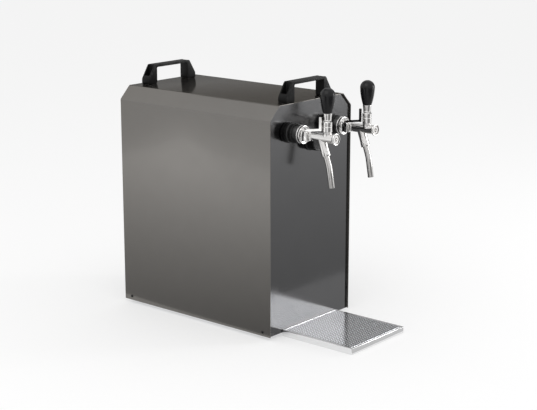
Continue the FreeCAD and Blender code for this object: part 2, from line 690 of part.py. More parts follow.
def is_outline_edge(edge):
    """True for an edge of the handle's front or back face that is clear of its foot."""
    first, last = edge.Vertexes[0].Point, edge.Vertexes[-1].Point
    nothing = real("running_gap")
    return abs(first.y - last.y) < nothing and max(first.z, last.z) > nothing


def make_tray():
    back = f"({panel_face} - fit_gap)"
    front = depth("-tray_reach")
    length = f"({back} - {front})"
    outside = box("tray_outside", ("-tray_width / 2", front, "0"), ("tray_width", length, "tray_height"))
    under_rim = box("tray_hollow", ("-tray_width / 2 + tray_wall", f"{front} + tray_wall", "tray_wall"),
                    ("tray_width - 2 * tray_wall", f"{length} - 2 * tray_wall",
                     "tray_height - 2 * tray_wall"))
    mouth = box("tray_mouth", ("-tray_width / 2 + tray_rim", f"{front} + tray_rim", "tray_wall"),
                ("tray_width - 2 * tray_rim", f"{length} - 2 * tray_rim", "tray_height"))
    node("drip_tray", cut("tray_pan", outside, under_rim, mouth))

    edge = "(tray_rim + grille_gap)"
    wide, long = f"(tray_width - 2 * {edge})", f"({length} - 2 * {edge})"
    lid = box("grille_lid", (f"-{wide} / 2", f"{front} + {edge}", "tray_wall"),
              (wide, long, "tray_height - tray_wall"))
    hollow = box("grille_hollow", (f"-{wide} / 2 + grille_plate", f"{front} + {edge} + grille_plate", "0"),
                 (f"{wide} - 2 * grille_plate", f"{long} - 2 * grille_plate", "tray_height - grille_plate"))
    holes = []
    columns = int(real(f"({wide} - 2 * grille_margin) / grille_pitch"))
    rows = int(real(f"({long} - 2 * grille_margin) / grille_pitch"))
    for column in range(columns + 1):
        for row in range(rows + 1):
            x = f"({column} - {columns} / 2) * grille_pitch"
            y = f"({front} + {back}) / 2 + ({row} - {rows} / 2) * grille_pitch"
            holes.append(rod("grille_hole", (x, y, "tray_height - grille_plate - overcut"), UP,
                             "grille_hole", "grille_plate + 2 * overcut"))
    node("drip_grille", cut("grille", lid, hollow, *holes))


def tap_spot(side, across, distance, height):
    """Place on a tap: across from its axis, in front of the panel, above its axis."""
    return (f"{side} * tap_spacing / 2 + {across}", f"{panel_face} - ({distance})",
            rise(f"tap_height + {height}"))


def fore_aft(name, side, outline, across, width):
    """Plate cut to an outline of (distance in front of the panel, height above the tap's axis)."""
    flipped = [(f"-({corner[0]})",) + tuple(corner[1:]) for corner in outline]
    return slab(name, "YZ_Plane", [flipped], width, tap_spot(side, across, "0", "0"))


def stem_way(name, side, low, high):
    """The room that the stem needs as it swings, between two heights above the tap's axis."""
    half = "(stem_radius + socket_gap)"

    def edge(height, sign, swing):
        lean = f"(({height}) - pivot_height) * tan({swing})"
        return f"lever_place + {sign} * {half} / cos({swing}) + {lean}"

    if low == "0":
        # Below the pivot the stem goes backwards as the knob comes forwards.
        outline = [(edge(low, -1, "swing_open"), low), (edge(high, -1, "swing_open"), high),
                   (edge(high, 1, "-swing_foam"), high), (edge(low, 1, "-swing_foam"), low)]
    else:
        outline = [(edge(low, -1, "-swing_foam"), low), (edge(high, -1, "-swing_foam"), high),
                   (edge(high, 1, "swing_open"), high), (edge(low, 1, "swing_open"), low)]
    return fore_aft(name, side, outline, f"-{half}", f"2 * {half}")


def make_tap(label, side):
    shank_end = "(coupling_depth + collar_web)"
    collar_end = "(coupling_depth + collar_depth)"

    def lathe(name, outline):
        """Turned round the tap's axis: the outline is (radius, distance in front of the panel)."""
        return turned(f"{label}_{name}_turned", outline, tap_spot(side, "0", "0", "0"), FORWARD)

    node(f"{label}_shank", lathe("shank", [
        ("valve_bore", "-shank_inside"), ("shank_radius", "-shank_inside"),
        ("shank_radius", shank_end), ("valve_bore", shank_end)]))
    node(f"{label}_coupling", lathe("coupling", [
        ("shank_radius + thread_gap", "0"), ("coupling_flange", "0"),
        ("coupling_flange", "coupling_flange_depth - coupling_chamfer"),
        ("coupling_flange - coupling_chamfer", "coupling_flange_depth"),
        ("coupling_groove", "coupling_flange_depth"),
        ("coupling_groove", "coupling_flange_depth + coupling_groove_depth"),
        ("coupling_body", "coupling_flange_depth + coupling_groove_depth"),
        ("coupling_nose", "coupling_depth"), ("shank_radius + thread_gap", "coupling_depth")]))
    node(f"{label}_collar", lathe("collar", [
        ("shank_radius + thread_gap", "coupling_depth"), ("collar_radius", "coupling_depth"),
        ("collar_radius", collar_end), ("collar_radius - collar_rim", collar_end),
        ("collar_radius - collar_rim", f"{collar_end} - collar_mouth"),
        ("tail_radius + thread_gap", f"{collar_end} - collar_mouth"),
        ("tail_radius + thread_gap", shank_end), ("shank_radius + thread_gap", shank_end)]))

    hexagon = [(f"nut_radius * sin({60 * corner})", f"nut_radius * cos({60 * corner})")
               for corner in range(6)]
    nut = slab(f"{label}_hex", "XZ_Plane", [hexagon, ("circle", "0", "0", "shank_radius + thread_gap")],
               "nut_depth", tap_spot(side, "0", "-(panel_wall + nut_depth)", "0"))
    node(f"{label}_shank_nut", nut)

    make_tap_body(label, side, lathe, shank_end)
    make_lever(label, side)
    make_plunger(label, side, lathe, shank_end)
    make_flow_control(label, side)
    make_spout(label, side)


def make_tap_body(label, side, lathe, shank_end):
    tail_end = f"({shank_end} + tail_depth)"
    barrel = lathe("barrel", [
        ("0", shank_end), ("tail_radius", shank_end), ("tail_radius", tail_end, "-neck_curve"),
        ("barrel_radius", f"{tail_end} + neck_length"),
        ("barrel_radius", "barrel_end - nose_rim - nose_flare", "-nose_curve"),
        ("nose_radius", "barrel_end - nose_rim"), ("nose_radius", "barrel_end"), ("nose_dish", "barrel_end"),
        ("nose_dish - nose_dish_depth", "barrel_end - nose_dish_depth"),
        ("0", "barrel_end - nose_dish_depth")])
    flow_axis = tap_spot(side, "0", "side_boss_place", "0")
    boss = rod(f"{label}_boss", flow_axis, LEFT, "side_boss", "side_boss_reach")
    spindle = rod(f"{label}_spindle", flow_axis, LEFT, "spindle",
                  "side_boss_reach + flow_plate + 2 * turning_gap + side_cap_depth / 2")
    under_pivot = tap_spot(side, "0", "lever_place", "0")
    tower = rod(f"{label}_tower", under_pivot, UP, "bonnet_radius", "pivot_height")
    lean = (0, -math.sin(math.radians(real("sleeve_lean"))), -math.cos(math.radians(real("sleeve_lean"))))
    root = tap_spot(side, "0", "sleeve_place", "0")
    sleeve_length = "(sleeve_drop / cos(sleeve_lean))"
    sleeve = rod(f"{label}_sleeve", root, lean, "sleeve_radius", sleeve_length)
    outside = joined(f"{label}_casting", barrel, boss, spindle, tower, sleeve)

    foam_travel = "stem_drop * sin(swing_foam)"
    bore_end = f"(lever_place + plunger_head / 2 + {foam_travel} + 2 * plunger_gap)"
    bore = rod(f"{label}_bore", tap_spot(side, "0", f"{shank_end} - overcut", "0"), FORWARD, "valve_bore",
               f"{bore_end} - {shank_end} + overcut")
    pivot = tap_spot(side, "0", "lever_place", "pivot_height")
    socket = ball(f"{label}_socket", pivot, "ball_radius + socket_gap")
    way = stem_way(f"{label}_lower_way", side, "0", "pivot_height")
    passage = rod(f"{label}_passage", root, lean, "spout_bore", f"{sleeve_length} + overcut")
    seat_place = "(sleeve_drop / cos(sleeve_lean) - spout_socket)"
    seat_root = tap_spot(side, "0", f"sleeve_place + {seat_place} * sin(sleeve_lean)",
                         f"-{seat_place} * cos(sleeve_lean)")
    seat = rod(f"{label}_spout_seat", seat_root, lean, "spout_radius + running_gap", "spout_socket + overcut")
    node(f"{label}_tap_body", cut(f"{label}_body", outside, bore, socket, way, passage, seat))

    dome_edge = "(pivot_height + sqrt(bonnet_dome ^ 2 - bonnet_radius ^ 2))"
    cap = turned(f"{label}_bonnet_cap", [
        ("0", "pivot_height"), ("bonnet_radius", "pivot_height"), ("bonnet_radius", dome_edge, "bonnet_dome"),
        ("0", "pivot_height + bonnet_dome")], under_pivot)
    upper_socket = ball(f"{label}_upper_socket", pivot, "ball_radius + socket_gap")
    upper_way = stem_way(f"{label}_upper_way", side, "pivot_height", "pivot_height + bonnet_dome + overcut")
    node(f"{label}_bonnet", cut(f"{label}_bonnet_bored", cap, upper_socket, upper_way))


def make_lever(label, side):
    pivot = tap_spot(side, "0", "lever_place", "pivot_height")
    foot = tap_spot(side, "0", "lever_place", "pivot_height - stem_drop")
    stem_length = "(stem_drop + ferrule_end - pivot_height + stud_length)"
    hollow = "(bonnet_dome + socket_gap)"
    ferrule = turned(f"{label}_ferrule", [
        ("0", f"pivot_height + {hollow}", f"-{hollow}"),
        ("ferrule_foot", f"pivot_height + sqrt({hollow} ^ 2 - ferrule_foot ^ 2)"),
        ("ferrule_top", "ferrule_end"), ("0", "ferrule_end")], tap_spot(side, "0", "lever_place", "0"))
    node(f"{label}_lever", joined(
        f"{label}_lever_solid", ball(f"{label}_ball", pivot, "ball_radius"),
        rod(f"{label}_stem", foot, UP, "stem_radius", stem_length),
        ball(f"{label}_stem_end", foot, "stem_end"), ferrule,
        rod(f"{label}_stud", tap_spot(side, "0", "lever_place", "ferrule_end"), UP, "stud_radius",
            "stud_length")))

    crown = "(knob_length - knob_belly_height)"
    crown_bow = f"((knob_belly ^ 2 + {crown} ^ 2) / (2 * {crown}))"
    stud_hole = "(stud_radius + running_gap)"
    stud_top = "(ferrule_end + stud_length + thread_gap)"
    node(f"{label}_knob", turned(f"{label}_knob_turned", [
        (stud_hole, "ferrule_end"), ("knob_foot", "ferrule_end", "knob_side_curve"),
        ("knob_belly", "ferrule_end + knob_belly_height", crown_bow),
        ("0", "ferrule_end + knob_length"), ("0", stud_top), (stud_hole, stud_top)],
        tap_spot(side, "0", "lever_place", "0")))


def make_plunger(label, side, lathe, shank_end):
    head = "(valve_bore - plunger_gap)"
    rear = f"({shank_end} + plunger_start)"
    blank = lathe("plunger", [
        ("0", rear), (head, rear), (head, f"{rear} + plunger_seal"),
        ("plunger_rod", f"{rear} + plunger_seal"), ("plunger_rod", "lever_place - plunger_head / 2"),
        (head, "lever_place - plunger_head / 2"), (head, "lever_place + plunger_head / 2"),
        ("0", "lever_place + plunger_head / 2")])
    half = "(stem_end + slot_play)"
    slot = box(f"{label}_slot", tap_spot(side, "-valve_bore", f"lever_place + {half}", "-slot_floor"),
               ("2 * valve_bore", f"2 * {half}", "valve_bore + slot_floor"))
    node(f"{label}_valve_plunger", cut(f"{label}_plunger_slotted", blank, slot))


def make_flow_control(label, side):
    eye_across = "-(side_boss_reach + turning_gap + flow_plate)"
    tip = "(side_boss_place + flow_reach)"
    root_front, root_rear = "(side_boss_place + flow_arm)", "(side_boss_place - flow_arm)"
    arm = fore_aft(f"{label}_arm", side, [
        (root_front, "0"), (root_front, "flow_root_height - flow_arm"),
        (f"{tip} - flow_tab", "flow_arm_height - flow_arm"), (tip, "flow_arm_height - flow_arm"),
        (tip, "flow_tip_height"), (f"{tip} - flow_tab", "flow_tip_height"),
        (f"{tip} - flow_tab", "flow_arm_height"), (root_front, "flow_root_height"),
        (root_rear, "flow_root_height - flow_arm"), (root_rear, "0")], eye_across, "flow_plate")
    eye = rod(f"{label}_eye", tap_spot(side, eye_across, "side_boss_place", "0"), RIGHT,
              "flow_eye", "flow_plate")
    drill = rod(f"{label}_eye_drill", tap_spot(side, f"{eye_across} - overcut", "side_boss_place", "0"),
                RIGHT, "spindle + running_gap", "flow_plate + 2 * overcut")
    node(f"{label}_flow_lever", cut(f"{label}_flow_plate", joined(f"{label}_flow_blank", arm, eye), drill))

    cap_across = "-(side_boss_reach + 2 * turning_gap + flow_plate + side_cap_depth)"
    half_wide, half_tall = "(side_cap_width / 2)", "(side_cap_tall / 2)"
    outline = []
    for end, up in ((-1, -1), (1, -1), (1, 1), (-1, 1)):
        ends = [(half_wide, f"{half_tall} - side_cap_corner"), (f"{half_wide} - side_cap_corner", half_tall)]
        for across, high in (ends if end == up else reversed(ends)):
            outline.append((f"side_boss_place + {end} * ({across})", f"{up} * ({high})"))
    block = fore_aft(f"{label}_cap_block", side, outline, cap_across, "side_cap_depth")
    hole_across = f"{cap_across} + side_cap_depth / 2 - running_gap"
    spindle_hole = rod(f"{label}_cap_drill", tap_spot(side, hole_across, "side_boss_place", "0"), RIGHT,
                       "spindle + running_gap", "side_cap_depth")
    node(f"{label}_side_cap", cut(f"{label}_cap_drilled", block, spindle_hole))


def make_spout(label, side):
    """Bent tube in the tap's sleeve, drawn round the tap's own axis."""

    def spot(drop):
        return ("0", f"-(sleeve_place + {drop} * tan(sleeve_lean))", f"-{drop}")

    top_drop = "(sleeve_drop - spout_socket * cos(sleeve_lean))"
    below = "(spout_tip_drop - spout_bend_drop)"
    tip = ("0", f"-(sleeve_place + spout_bend_drop * tan(sleeve_lean) + {below} * tan(spout_tip_lean))",
           "-spout_tip_drop")
    spout = tube(f"{label}_spout_tube", [spot(top_drop), spot("spout_bend_drop"), tip],
                 "spout_radius", "spout_bend", "spout_bore")
    node(f"{label}_spout", at(spout, *tap_spot(side, "0", "0", "0")))


def make_thermostat():
    low = ("-thermostat_width / 2", panel_back, rise("dial_height - thermostat_height / 2"))
    body = box("thermostat_case", low, ("thermostat_width", "thermostat_depth", "thermostat_height"))
    shaft_back = f"({panel_back} + thermostat_depth / 2)"
    hole = rod("shaft_hole", ("0", shaft_back, rise("dial_height")), FORWARD, "dial_shaft + running_gap",
               "thermostat_depth")
    node("thermostat", cut("thermostat_bored", body, hole))
    shaft_front = f"({panel_face} - turning_gap - dial_shaft_in_knob)"
    shaft_start = f"({shaft_back} - turning_gap)"
    node("thermostat_shaft", rod("dial_shaft_rod", ("0", shaft_start, rise("dial_height")), FORWARD,
                                 "dial_shaft", f"{shaft_start} - {shaft_front}"))
    bore = "(dial_shaft + running_gap)"
    blind = "(dial_shaft_in_knob + turning_gap + running_gap)"
    node("thermostat_knob", turned("dial_turned", [
        (bore, "turning_gap"), ("dial_skirt", "turning_gap"), ("dial_skirt", "dial_rim"),
        ("dial_grip", "dial_skirt_depth"), ("dial_grip", "dial_depth - dial_chamfer"),
        ("dial_grip - dial_chamfer", "dial_depth"), ("0", "dial_depth"), ("0", blind), (bore, blind)],
        ("0", panel_face, rise("dial_height")), FORWARD))


def make_bench():
    outer_half = f"({pan_outside} - panel_wall - fit_gap)"
    outside = box("bench_outside", (f"-{outer_half}", depth("bench_start"), pan_floor),
                  (f"2 * {outer_half}", "bench_length", f"floor_gap + bench_height - {pan_floor}"))
    inside = box("bench_inside",
                 (f"-({outer_half} - panel_wall)", depth("bench_start - overcut"), f"{pan_floor} - overcut"),
                 (f"2 * ({outer_half} - panel_wall)", "bench_length + 2 * overcut",
                  f"floor_gap + bench_height - panel_wall - {pan_floor} + overcut"))
    node("cooler_bench", cut("bench", outside, inside))


lid_top = rise("(bench_height + foam_height + foam_wall)")
block_top = rise("(bench_height + foam_height)")
foam_rear = "(foam_start + foam_length)"
front_drop = "(foam_start + foam_wall + drop_inset)"
rear_drop = f"({foam_rear} - foam_wall - drop_inset)"


def make_cold_block():
    jacket = box("foam_outside", ("-foam_width / 2", depth("foam_start"), rise("bench_height")),
                 ("foam_width", "foam_length", "foam_height"))
    block_low = ("-foam_width / 2 + foam_wall", depth("foam_start + foam_wall"),
                 rise("bench_height + foam_wall"))
    block_size = ("foam_width - 2 * foam_wall", "foam_length - 2 * foam_wall", "foam_height - foam_wall")
    node("foam_jacket", cut("foam_tub", jacket, box("foam_inside", block_low, block_size)))
    node("cooling_block", box("block", block_low, block_size))
    slab_lid = box("foam_slab", ("-foam_width / 2", depth("foam_start"), block_top),
                   ("foam_width", "foam_length", "foam_wall"))
    holes = []
    for x, y in line_drops():
        holes.append(rod("line_hole", (x, y, f"{block_top} - overcut"), UP, "line_radius + line_hole_gap",
                         "foam_wall + 2 * overcut"))
    node("foam_lid", cut("foam_lid_bored", slab_lid, *holes))


def line_drops():
    """Where the lines go down through the foam lid."""
    taps = [(f"{side} * tap_spacing / 2", depth(front_drop)) for side in (-1, 1)]
    inlets = [(f"{side} * inlet_spacing / 2", depth(rear_drop)) for side in (-1, 1)]
    return taps + inlets + [("-stub_spread / 2", depth(rear_drop)), ("stub_spread / 2", depth(rear_drop))]


def make_beer_lines():
    crossing = f"({lid_top} + line_rise)"
    inlet_end = f"({rear_inside} - inlet_inside)"
    fittings = []
    for label, side in (("left", -1), ("right", 1)):
        tap_x, inlet_x = f"{side} * tap_spacing / 2", f"{side} * inlet_spacing / 2"
        shank_back = f"({panel_face} + shank_inside)"
        tap_z, inlet_z = rise("tap_height"), rise("inlet_height")
        to_tap = tube(f"{label}_tap_run", [
            (tap_x, shank_back, tap_z), (tap_x, depth(front_drop), tap_z),
            (tap_x, depth(front_drop), block_top)], "line_radius", "line_bend")
        lane = depth("inlet_lane")
        from_inlet = tube(f"{label}_inlet_run", [
            (inlet_x, inlet_end, inlet_z), (inlet_x, lane, inlet_z), (inlet_x, lane, crossing),
            (inlet_x, depth(rear_drop), crossing), (inlet_x, depth(rear_drop), block_top)],
            "line_radius", "line_bend")
        bundle(f"{label}_beer_line", [to_tap, from_inlet])
        flange_back = "(inlet_inside + panel_wall)"
        tip = f"({flange_back} + panel_recess + inlet_reach)"
        outline = [
            ("inlet_bore", "0"), ("inlet_neck", "0"), ("inlet_neck", "inlet_inside"),
            ("inlet_body", "inlet_inside"), ("inlet_body", flange_back), ("inlet_flange", flange_back),
            ("inlet_flange", f"{flange_back} + inlet_flange_depth"),
            ("inlet_body", f"{flange_back} + inlet_flange_depth"),
            ("inlet_body", f"{flange_back} + 2 * inlet_flange_depth"),
            ("line_radius", f"{flange_back} + 2 * inlet_flange_depth"),
            ("line_radius", tip), ("inlet_bore", tip)]
        fittings.append(turned(f"{label}_inlet", outline, (inlet_x, inlet_end, inlet_z), BACK))
    bundle("inlet_fittings", fittings)


def make_compressor():
    centre = ("-compressor_offset", depth("compressor_place"))
    foot_z = f"({pan_floor} + grommet_height)"
    shell = turned("compressor_shell", [
        ("0", "0"), ("compressor_radius - compressor_dome", "0", "compressor_dome"),
        ("compressor_radius", "compressor_dome"),
        ("compressor_radius", "compressor_height - compressor_dome", "compressor_dome"),
        ("compressor_radius - compressor_dome", "compressor_height"), ("0", "compressor_height")],
        (centre[0], centre[1], foot_z))
    stubs = []
    for side, height in ((1, "suction_height"), (-1, "discharge_height")):
        stubs.append(rod("stub", (f"{centre[0]} + {side} * stub_spread / 2", centre[1], rise(height)),
                         BACK, "line_radius", "compressor_radius + stub_length"))
    reach = "(grommet_spread + grommet_radius)"
    plate = box("foot_plate", (f"{centre[0]} - {reach}", f"{centre[1]} - {reach}", f"{foot_z} - panel_wall"),
                (f"2 * {reach}", f"2 * {reach}", "panel_wall"))
    node("compressor", joined("compressor_solid", shell, plate, *stubs))
    grommets = []
    grommet_top = "(grommet_height - panel_wall)"
    for side in (-1, 1):
        for end in (-1, 1):
            place = (f"{centre[0]} + {side} * grommet_spread", f"{centre[1]} + {end} * grommet_spread",
                     pan_floor)
            grommets.append(turned("grommet", [
                ("0", "0"), ("grommet_radius", "0"), ("grommet_waist", f"{grommet_top} / 2"),
                ("grommet_radius", grommet_top), ("0", grommet_top)], place))
    bundle("compressor_grommets", grommets)


condenser_back = f"({rear_inside} - condenser_clear)"
condenser_middle = f"({condenser_back} - condenser_depth / 2)"
condenser_low = rise("condenser_rise")
fan_height = rise("(condenser_rise + condenser_height / 2)")


def make_condenser():
    front = f"({condenser_back} - condenser_depth)"
    pieces = []
    fins = whole("fin_count")
    for number in range(fins):
        x = f"-condenser_width / 2 + {number} * (condenser_width - fin_wall) / (fin_count - 1)"
        pieces.append(box("fin", (x, front, condenser_low),
                          ("fin_wall", "condenser_depth", "condenser_height")))
    for row in range(whole("row_count")):
        z = f"{condenser_low} + ({row} + 1 / 2) * condenser_height / row_count"
        pieces.append(rod("condenser_tube", ("-condenser_width / 2", condenser_middle, z), RIGHT,
                          "line_radius", "condenser_width"))
    low_z = f"{condenser_low} + condenser_height / row_count / 2"
    top_z = f"{condenser_low} + condenser_height - condenser_height / row_count / 2"
    pieces.append(rod("condenser_in", ("-condenser_width / 2", condenser_middle, top_z), LEFT, "line_radius",
                      "tube_stub"))
    pieces.append(rod("condenser_out", ("condenser_width / 2", condenser_middle, low_z), RIGHT, "line_radius",
                      "tube_stub"))
    node("condenser", joined("condenser_solid", *pieces))
    return top_z, low_z


def make_fan():
    front = f"({condenser_back} - condenser_depth)"
    plate = box("shroud_plate", ("-condenser_width / 2", f"{front} - panel_wall", condenser_low),
                ("condenser_width", "panel_wall", "condenser_height"))
    ring = rod("shroud_tube", ("0", front, fan_height), FORWARD, "shroud_bore + shroud_ring", "shroud_depth")
    hole = rod("shroud_hole", ("0", f"{front} + overcut", fan_height), FORWARD, "shroud_bore",
               "shroud_depth + 2 * overcut")
    strut_y = f"({front} - shroud_depth)"
    struts = [box("strut", ("-shroud_bore - shroud_ring / 2", strut_y, f"{fan_height} - strut_width / 2"),
                  ("2 * shroud_bore + shroud_ring", "panel_wall", "strut_width")),
              box("strut", ("-strut_width / 2", strut_y, f"{fan_height} - shroud_bore - shroud_ring / 2"),
                  ("strut_width", "panel_wall", "2 * shroud_bore + shroud_ring"))]
    shaft_hole = rod("strut_hole", ("0", f"{strut_y} - overcut", fan_height), BACK,
                     "motor_shaft + turning_gap", "panel_wall + 2 * overcut")
    frame = cut("shroud_open", joined("shroud_blank", plate, ring), hole)
    node("fan_shroud", cut("shroud", joined("shroud_with_struts", frame, *struts), shaft_hole))

    motor = rod("motor_can", ("0", strut_y, fan_height), FORWARD, "motor_radius", "motor_depth")
    bearing = rod("motor_bearing", ("0", f"{strut_y} + overcut", fan_height), FORWARD,
                  "motor_shaft + running_gap", "motor_depth / 2 + overcut")
    node("fan_motor", cut("motor", motor, bearing))

    hub_front = f"({strut_y} + panel_wall + fan_gap)"
    hub = rod("fan_hub_rod", ("0", hub_front, fan_height), BACK, "fan_hub", "fan_depth")
    shaft = rod("fan_shaft", ("0", f"{hub_front} + blade_root", fan_height), FORWARD, "motor_shaft",
                "blade_root + fan_gap + panel_wall + motor_depth / 2 - turning_gap")
    blades = []
    count = whole("fan_blades")
    for number in range(count):
        blade = box("blade", ("fan_hub - blade_root", "-blade_wall / 2", "-fan_chord / 2"),
                    ("fan_radius - fan_hub + blade_root", "blade_wall", "fan_chord"))
        pitched = doc.addObject("Part::Compound", "pitched_blade")
        pitched.Links = [blade]
        turn = 360 * (number + 1 / 2) / count
        spin = Rotation(Vector(0, 1, 0), turn) * Rotation(Vector(1, 0, 0), real("fan_pitch"))
        blades.append(at(pitched, "0", f"{hub_front} + fan_depth / 2", fan_height, turn=spin))
    node("fan_blade", joined("fan", hub, shaft, *blades))


def make_refrigerant_lines(top_z, low_z):
    suction_x = "(-compressor_offset + stub_spread / 2)"
    discharge_x = "(-compressor_offset - stub_spread / 2)"
    stub_y = depth("compressor_place + compressor_radius + stub_length")
    crossing = f"({lid_top} + capillary_rise)"
    lane = depth("rear_lane")
    block_x = "(-stub_spread / 2)"
    block_y = depth(rear_drop)
    node("suction_line", tube("suction", [
        (block_x, block_y, block_top), (block_x, block_y, crossing), (suction_x, lane, crossing),
        (suction_x, lane, rise("suction_height")), (suction_x, stub_y, rise("suction_height"))],
        "line_radius", "tight_bend"))
    discharge_y, discharge_z = depth("discharge_lane"), rise("discharge_height")
    node("discharge_line", tube("discharge", [
        (discharge_x, stub_y, discharge_z), (discharge_x, discharge_y, discharge_z),
        ("-side_lane", discharge_y, discharge_z), ("-side_lane", discharge_y, top_z),
        ("-side_lane", condenser_middle, top_z),
        ("-condenser_width / 2 - tube_stub", condenser_middle, top_z)], "line_radius", "tight_bend"))
    drier_low = rise("drier_height")
    drier_top = rise("drier_height + drier_length")
    node("liquid_line", tube("liquid", [
        ("condenser_width / 2 + tube_stub", condenser_middle, low_z), ("side_lane", condenser_middle, low_z),
        ("side_lane", lane, low_z), ("side_lane", lane, drier_low)], "line_radius", "tight_bend"))
    node("filter_drier", turned("drier", [
        ("0", "0"), ("drier_neck", "0"), ("drier_neck", "drier_neck_length"),
        ("drier_radius", "drier_neck_length + drier_neck"),
        ("drier_radius", "drier_length - drier_neck_length - drier_neck"),
        ("drier_neck", "drier_length - drier_neck_length"), ("drier_neck", "drier_length"),
        ("0", "drier_length")], ("side_lane", lane, drier_low)))
    node("capillary_line", tube("capillary", [
        ("side_lane", lane, drier_top), ("side_lane", lane, crossing), ("stub_spread / 2", lane, crossing),
        ("stub_spread / 2", block_y, crossing), ("stub_spread / 2", block_y, block_top)],
        "capillary_radius", "tight_bend"))


def make_power_inlet():
    low_z = rise("power_height - power_tall / 2")
    body = box("inlet_case", ("power_place - power_width / 2", f"{rear_face} - power_depth", low_z),
               ("power_width", "power_depth + power_flange_depth", "power_tall"))
    flange = box("inlet_plate", ("power_place - power_width / 2 - power_flange", rear_face,
                                 rise("power_height - power_tall / 2 - power_flange")),
                 ("power_width + 2 * power_flange", "power_flange_depth", "power_tall + 2 * power_flange"))
    well_front = f"({rear_face} + power_flange_depth)"
    well = box("inlet_well", ("power_place - power_width / 2 + panel_wall", f"{well_front} - power_well",
                              rise("power_height - power_tall / 2 + panel_wall")),
               ("power_width - 2 * panel_wall", "power_well + overcut", "power_tall - 2 * panel_wall"))
    pins = []
    for across, up in ((-1, -1), (0, 1), (1, -1)):
        pins.append(box("pin", (f"power_place + {across} * power_pin_spread - power_pin / 2",
                                f"{well_front} - power_well - overcut",
                                rise(f"power_height + {up} * power_pin_rise - power_pin_tall / 2")),
                        ("power_pin", "power_well + overcut - power_pin_set", "power_pin_tall")))
    hollow = cut("inlet_open", joined("inlet_blank", body, flange), well)
    node("power_inlet", joined("inlet_with_pins", hollow, *pins))


def make_switch():
    body = box("switch_case", ("switch_place - switch_width / 2", f"{rear_face} - switch_depth",
                               rise("power_height - switch_tall / 2")),
               ("switch_width", "switch_depth + switch_bezel_depth", "switch_tall"))
    bezel = box("switch_rim", ("switch_place - switch_width / 2 - switch_bezel", rear_face,
                               rise("power_height - switch_tall / 2 - switch_bezel")),
                ("switch_width + 2 * switch_bezel", "switch_bezel_depth", "switch_tall + 2 * switch_bezel"))
    drum = "(switch_tall / 2 - rocker_wall - rocker_gap)"
    pivot_y = f"({rear_face} + switch_bezel_depth - rocker_set)"
    well_low = ("switch_place - switch_width / 2 + rocker_wall", f"{pivot_y} - {drum} - rocker_gap",
                rise("power_height - switch_tall / 2 + rocker_wall"))
    well = box("switch_well", well_low,
               ("switch_width - 2 * rocker_wall", "switch_tall", "switch_tall - 2 * rocker_wall"))
    node("power_switch", cut("switch_open", joined("switch_blank", body, bezel), well))

    # The rocker is a drum with a flat face; at rest its top stands out, which is off.
    face_half = f"sqrt({drum} ^ 2 - rocker_proud ^ 2)"
    length = "(switch_width - 2 * rocker_wall - 2 * rocker_gap)"
    rocker = slab("rocker_slab", "YZ_Plane", [[
        ("rocker_proud", f"-{face_half}"), ("rocker_proud", face_half, drum),
        (f"-{drum}", "0", drum)]], length)
    at(rocker, f"switch_place - {length} / 2", pivot_y, rise("power_height"),
       turn=Rotation(Vector(1, 0, 0), -real("rocker_tilt")))
    node("switch_rocker", rocker)


make_base()
make_cover()
make_screws()
make_front_panel()
make_rear_panel()
make_handles()
make_tray()
for tap_label, tap_side in (("left", -1), ("right", 1)):
    make_tap(tap_label, tap_side)
make_thermostat()
make_bench()
make_cold_block()
make_beer_lines()
make_compressor()
condenser_in, condenser_out = make_condenser()
make_fan()
make_refrigerant_lines(condenser_in, condenser_out)
make_power_inlet()
make_switch()
doc.recompute()

# Nothing is written unless every object was built and every piece is sound.
failed = [thing.Label for thing in doc.Objects if {"Invalid", "Error"} & set(thing.State)]
if failed:
    raise RuntimeError(f"not built: {failed}")
for piece in nodes:
    if piece.Shape.isNull() or not piece.Shape.isValid():
        raise RuntimeError(f"not sound: {piece.Label}")
for piece in nodes:
    piece.Shape.exportStep(f"parts/{piece.Label}.step")
    print(f"{piece.Label}: {len(piece.Shape.Solids)} solid(s), {piece.Shape.Volume / 1000:.2f} cm3")
print(f"{len(nodes)} nodes")
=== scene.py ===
import bpy
import bmesh
import json
from math import atan2, cos, pi, radians, sin, sqrt, tan
from mathutils import Matrix, Vector


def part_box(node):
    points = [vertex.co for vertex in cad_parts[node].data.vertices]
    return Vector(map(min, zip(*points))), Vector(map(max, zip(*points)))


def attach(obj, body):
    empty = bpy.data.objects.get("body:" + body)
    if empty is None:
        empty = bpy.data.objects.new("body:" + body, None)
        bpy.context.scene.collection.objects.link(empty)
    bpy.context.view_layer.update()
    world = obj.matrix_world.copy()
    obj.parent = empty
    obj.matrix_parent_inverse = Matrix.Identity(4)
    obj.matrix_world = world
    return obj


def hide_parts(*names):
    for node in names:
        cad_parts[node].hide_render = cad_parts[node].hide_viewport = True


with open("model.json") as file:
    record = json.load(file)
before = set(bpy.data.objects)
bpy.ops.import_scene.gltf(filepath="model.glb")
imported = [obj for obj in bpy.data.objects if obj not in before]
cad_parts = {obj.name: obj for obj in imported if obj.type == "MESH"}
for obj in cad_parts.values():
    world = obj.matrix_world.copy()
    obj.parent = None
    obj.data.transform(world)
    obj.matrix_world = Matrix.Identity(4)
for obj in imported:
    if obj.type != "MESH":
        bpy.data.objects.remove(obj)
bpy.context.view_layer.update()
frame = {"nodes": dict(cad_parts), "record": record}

print("frame loaded")

scene = bpy.context.scene
scene.view_settings.view_transform = "Standard"
metre = 1000.0  # pieces are drawn in millimetres and brought to metres at the end


def newObject(name, data):
    item = bpy.data.objects.new(name, data)
    scene.collection.objects.link(item)
    return item


# camera at the photograph's angle; the look direction is from the fitted perspective
view = dict(place=(-2.1865, -1.8649, 0.9463), heading=49.81, pitch=-13.74, lens=92.24, sensor=36.0)


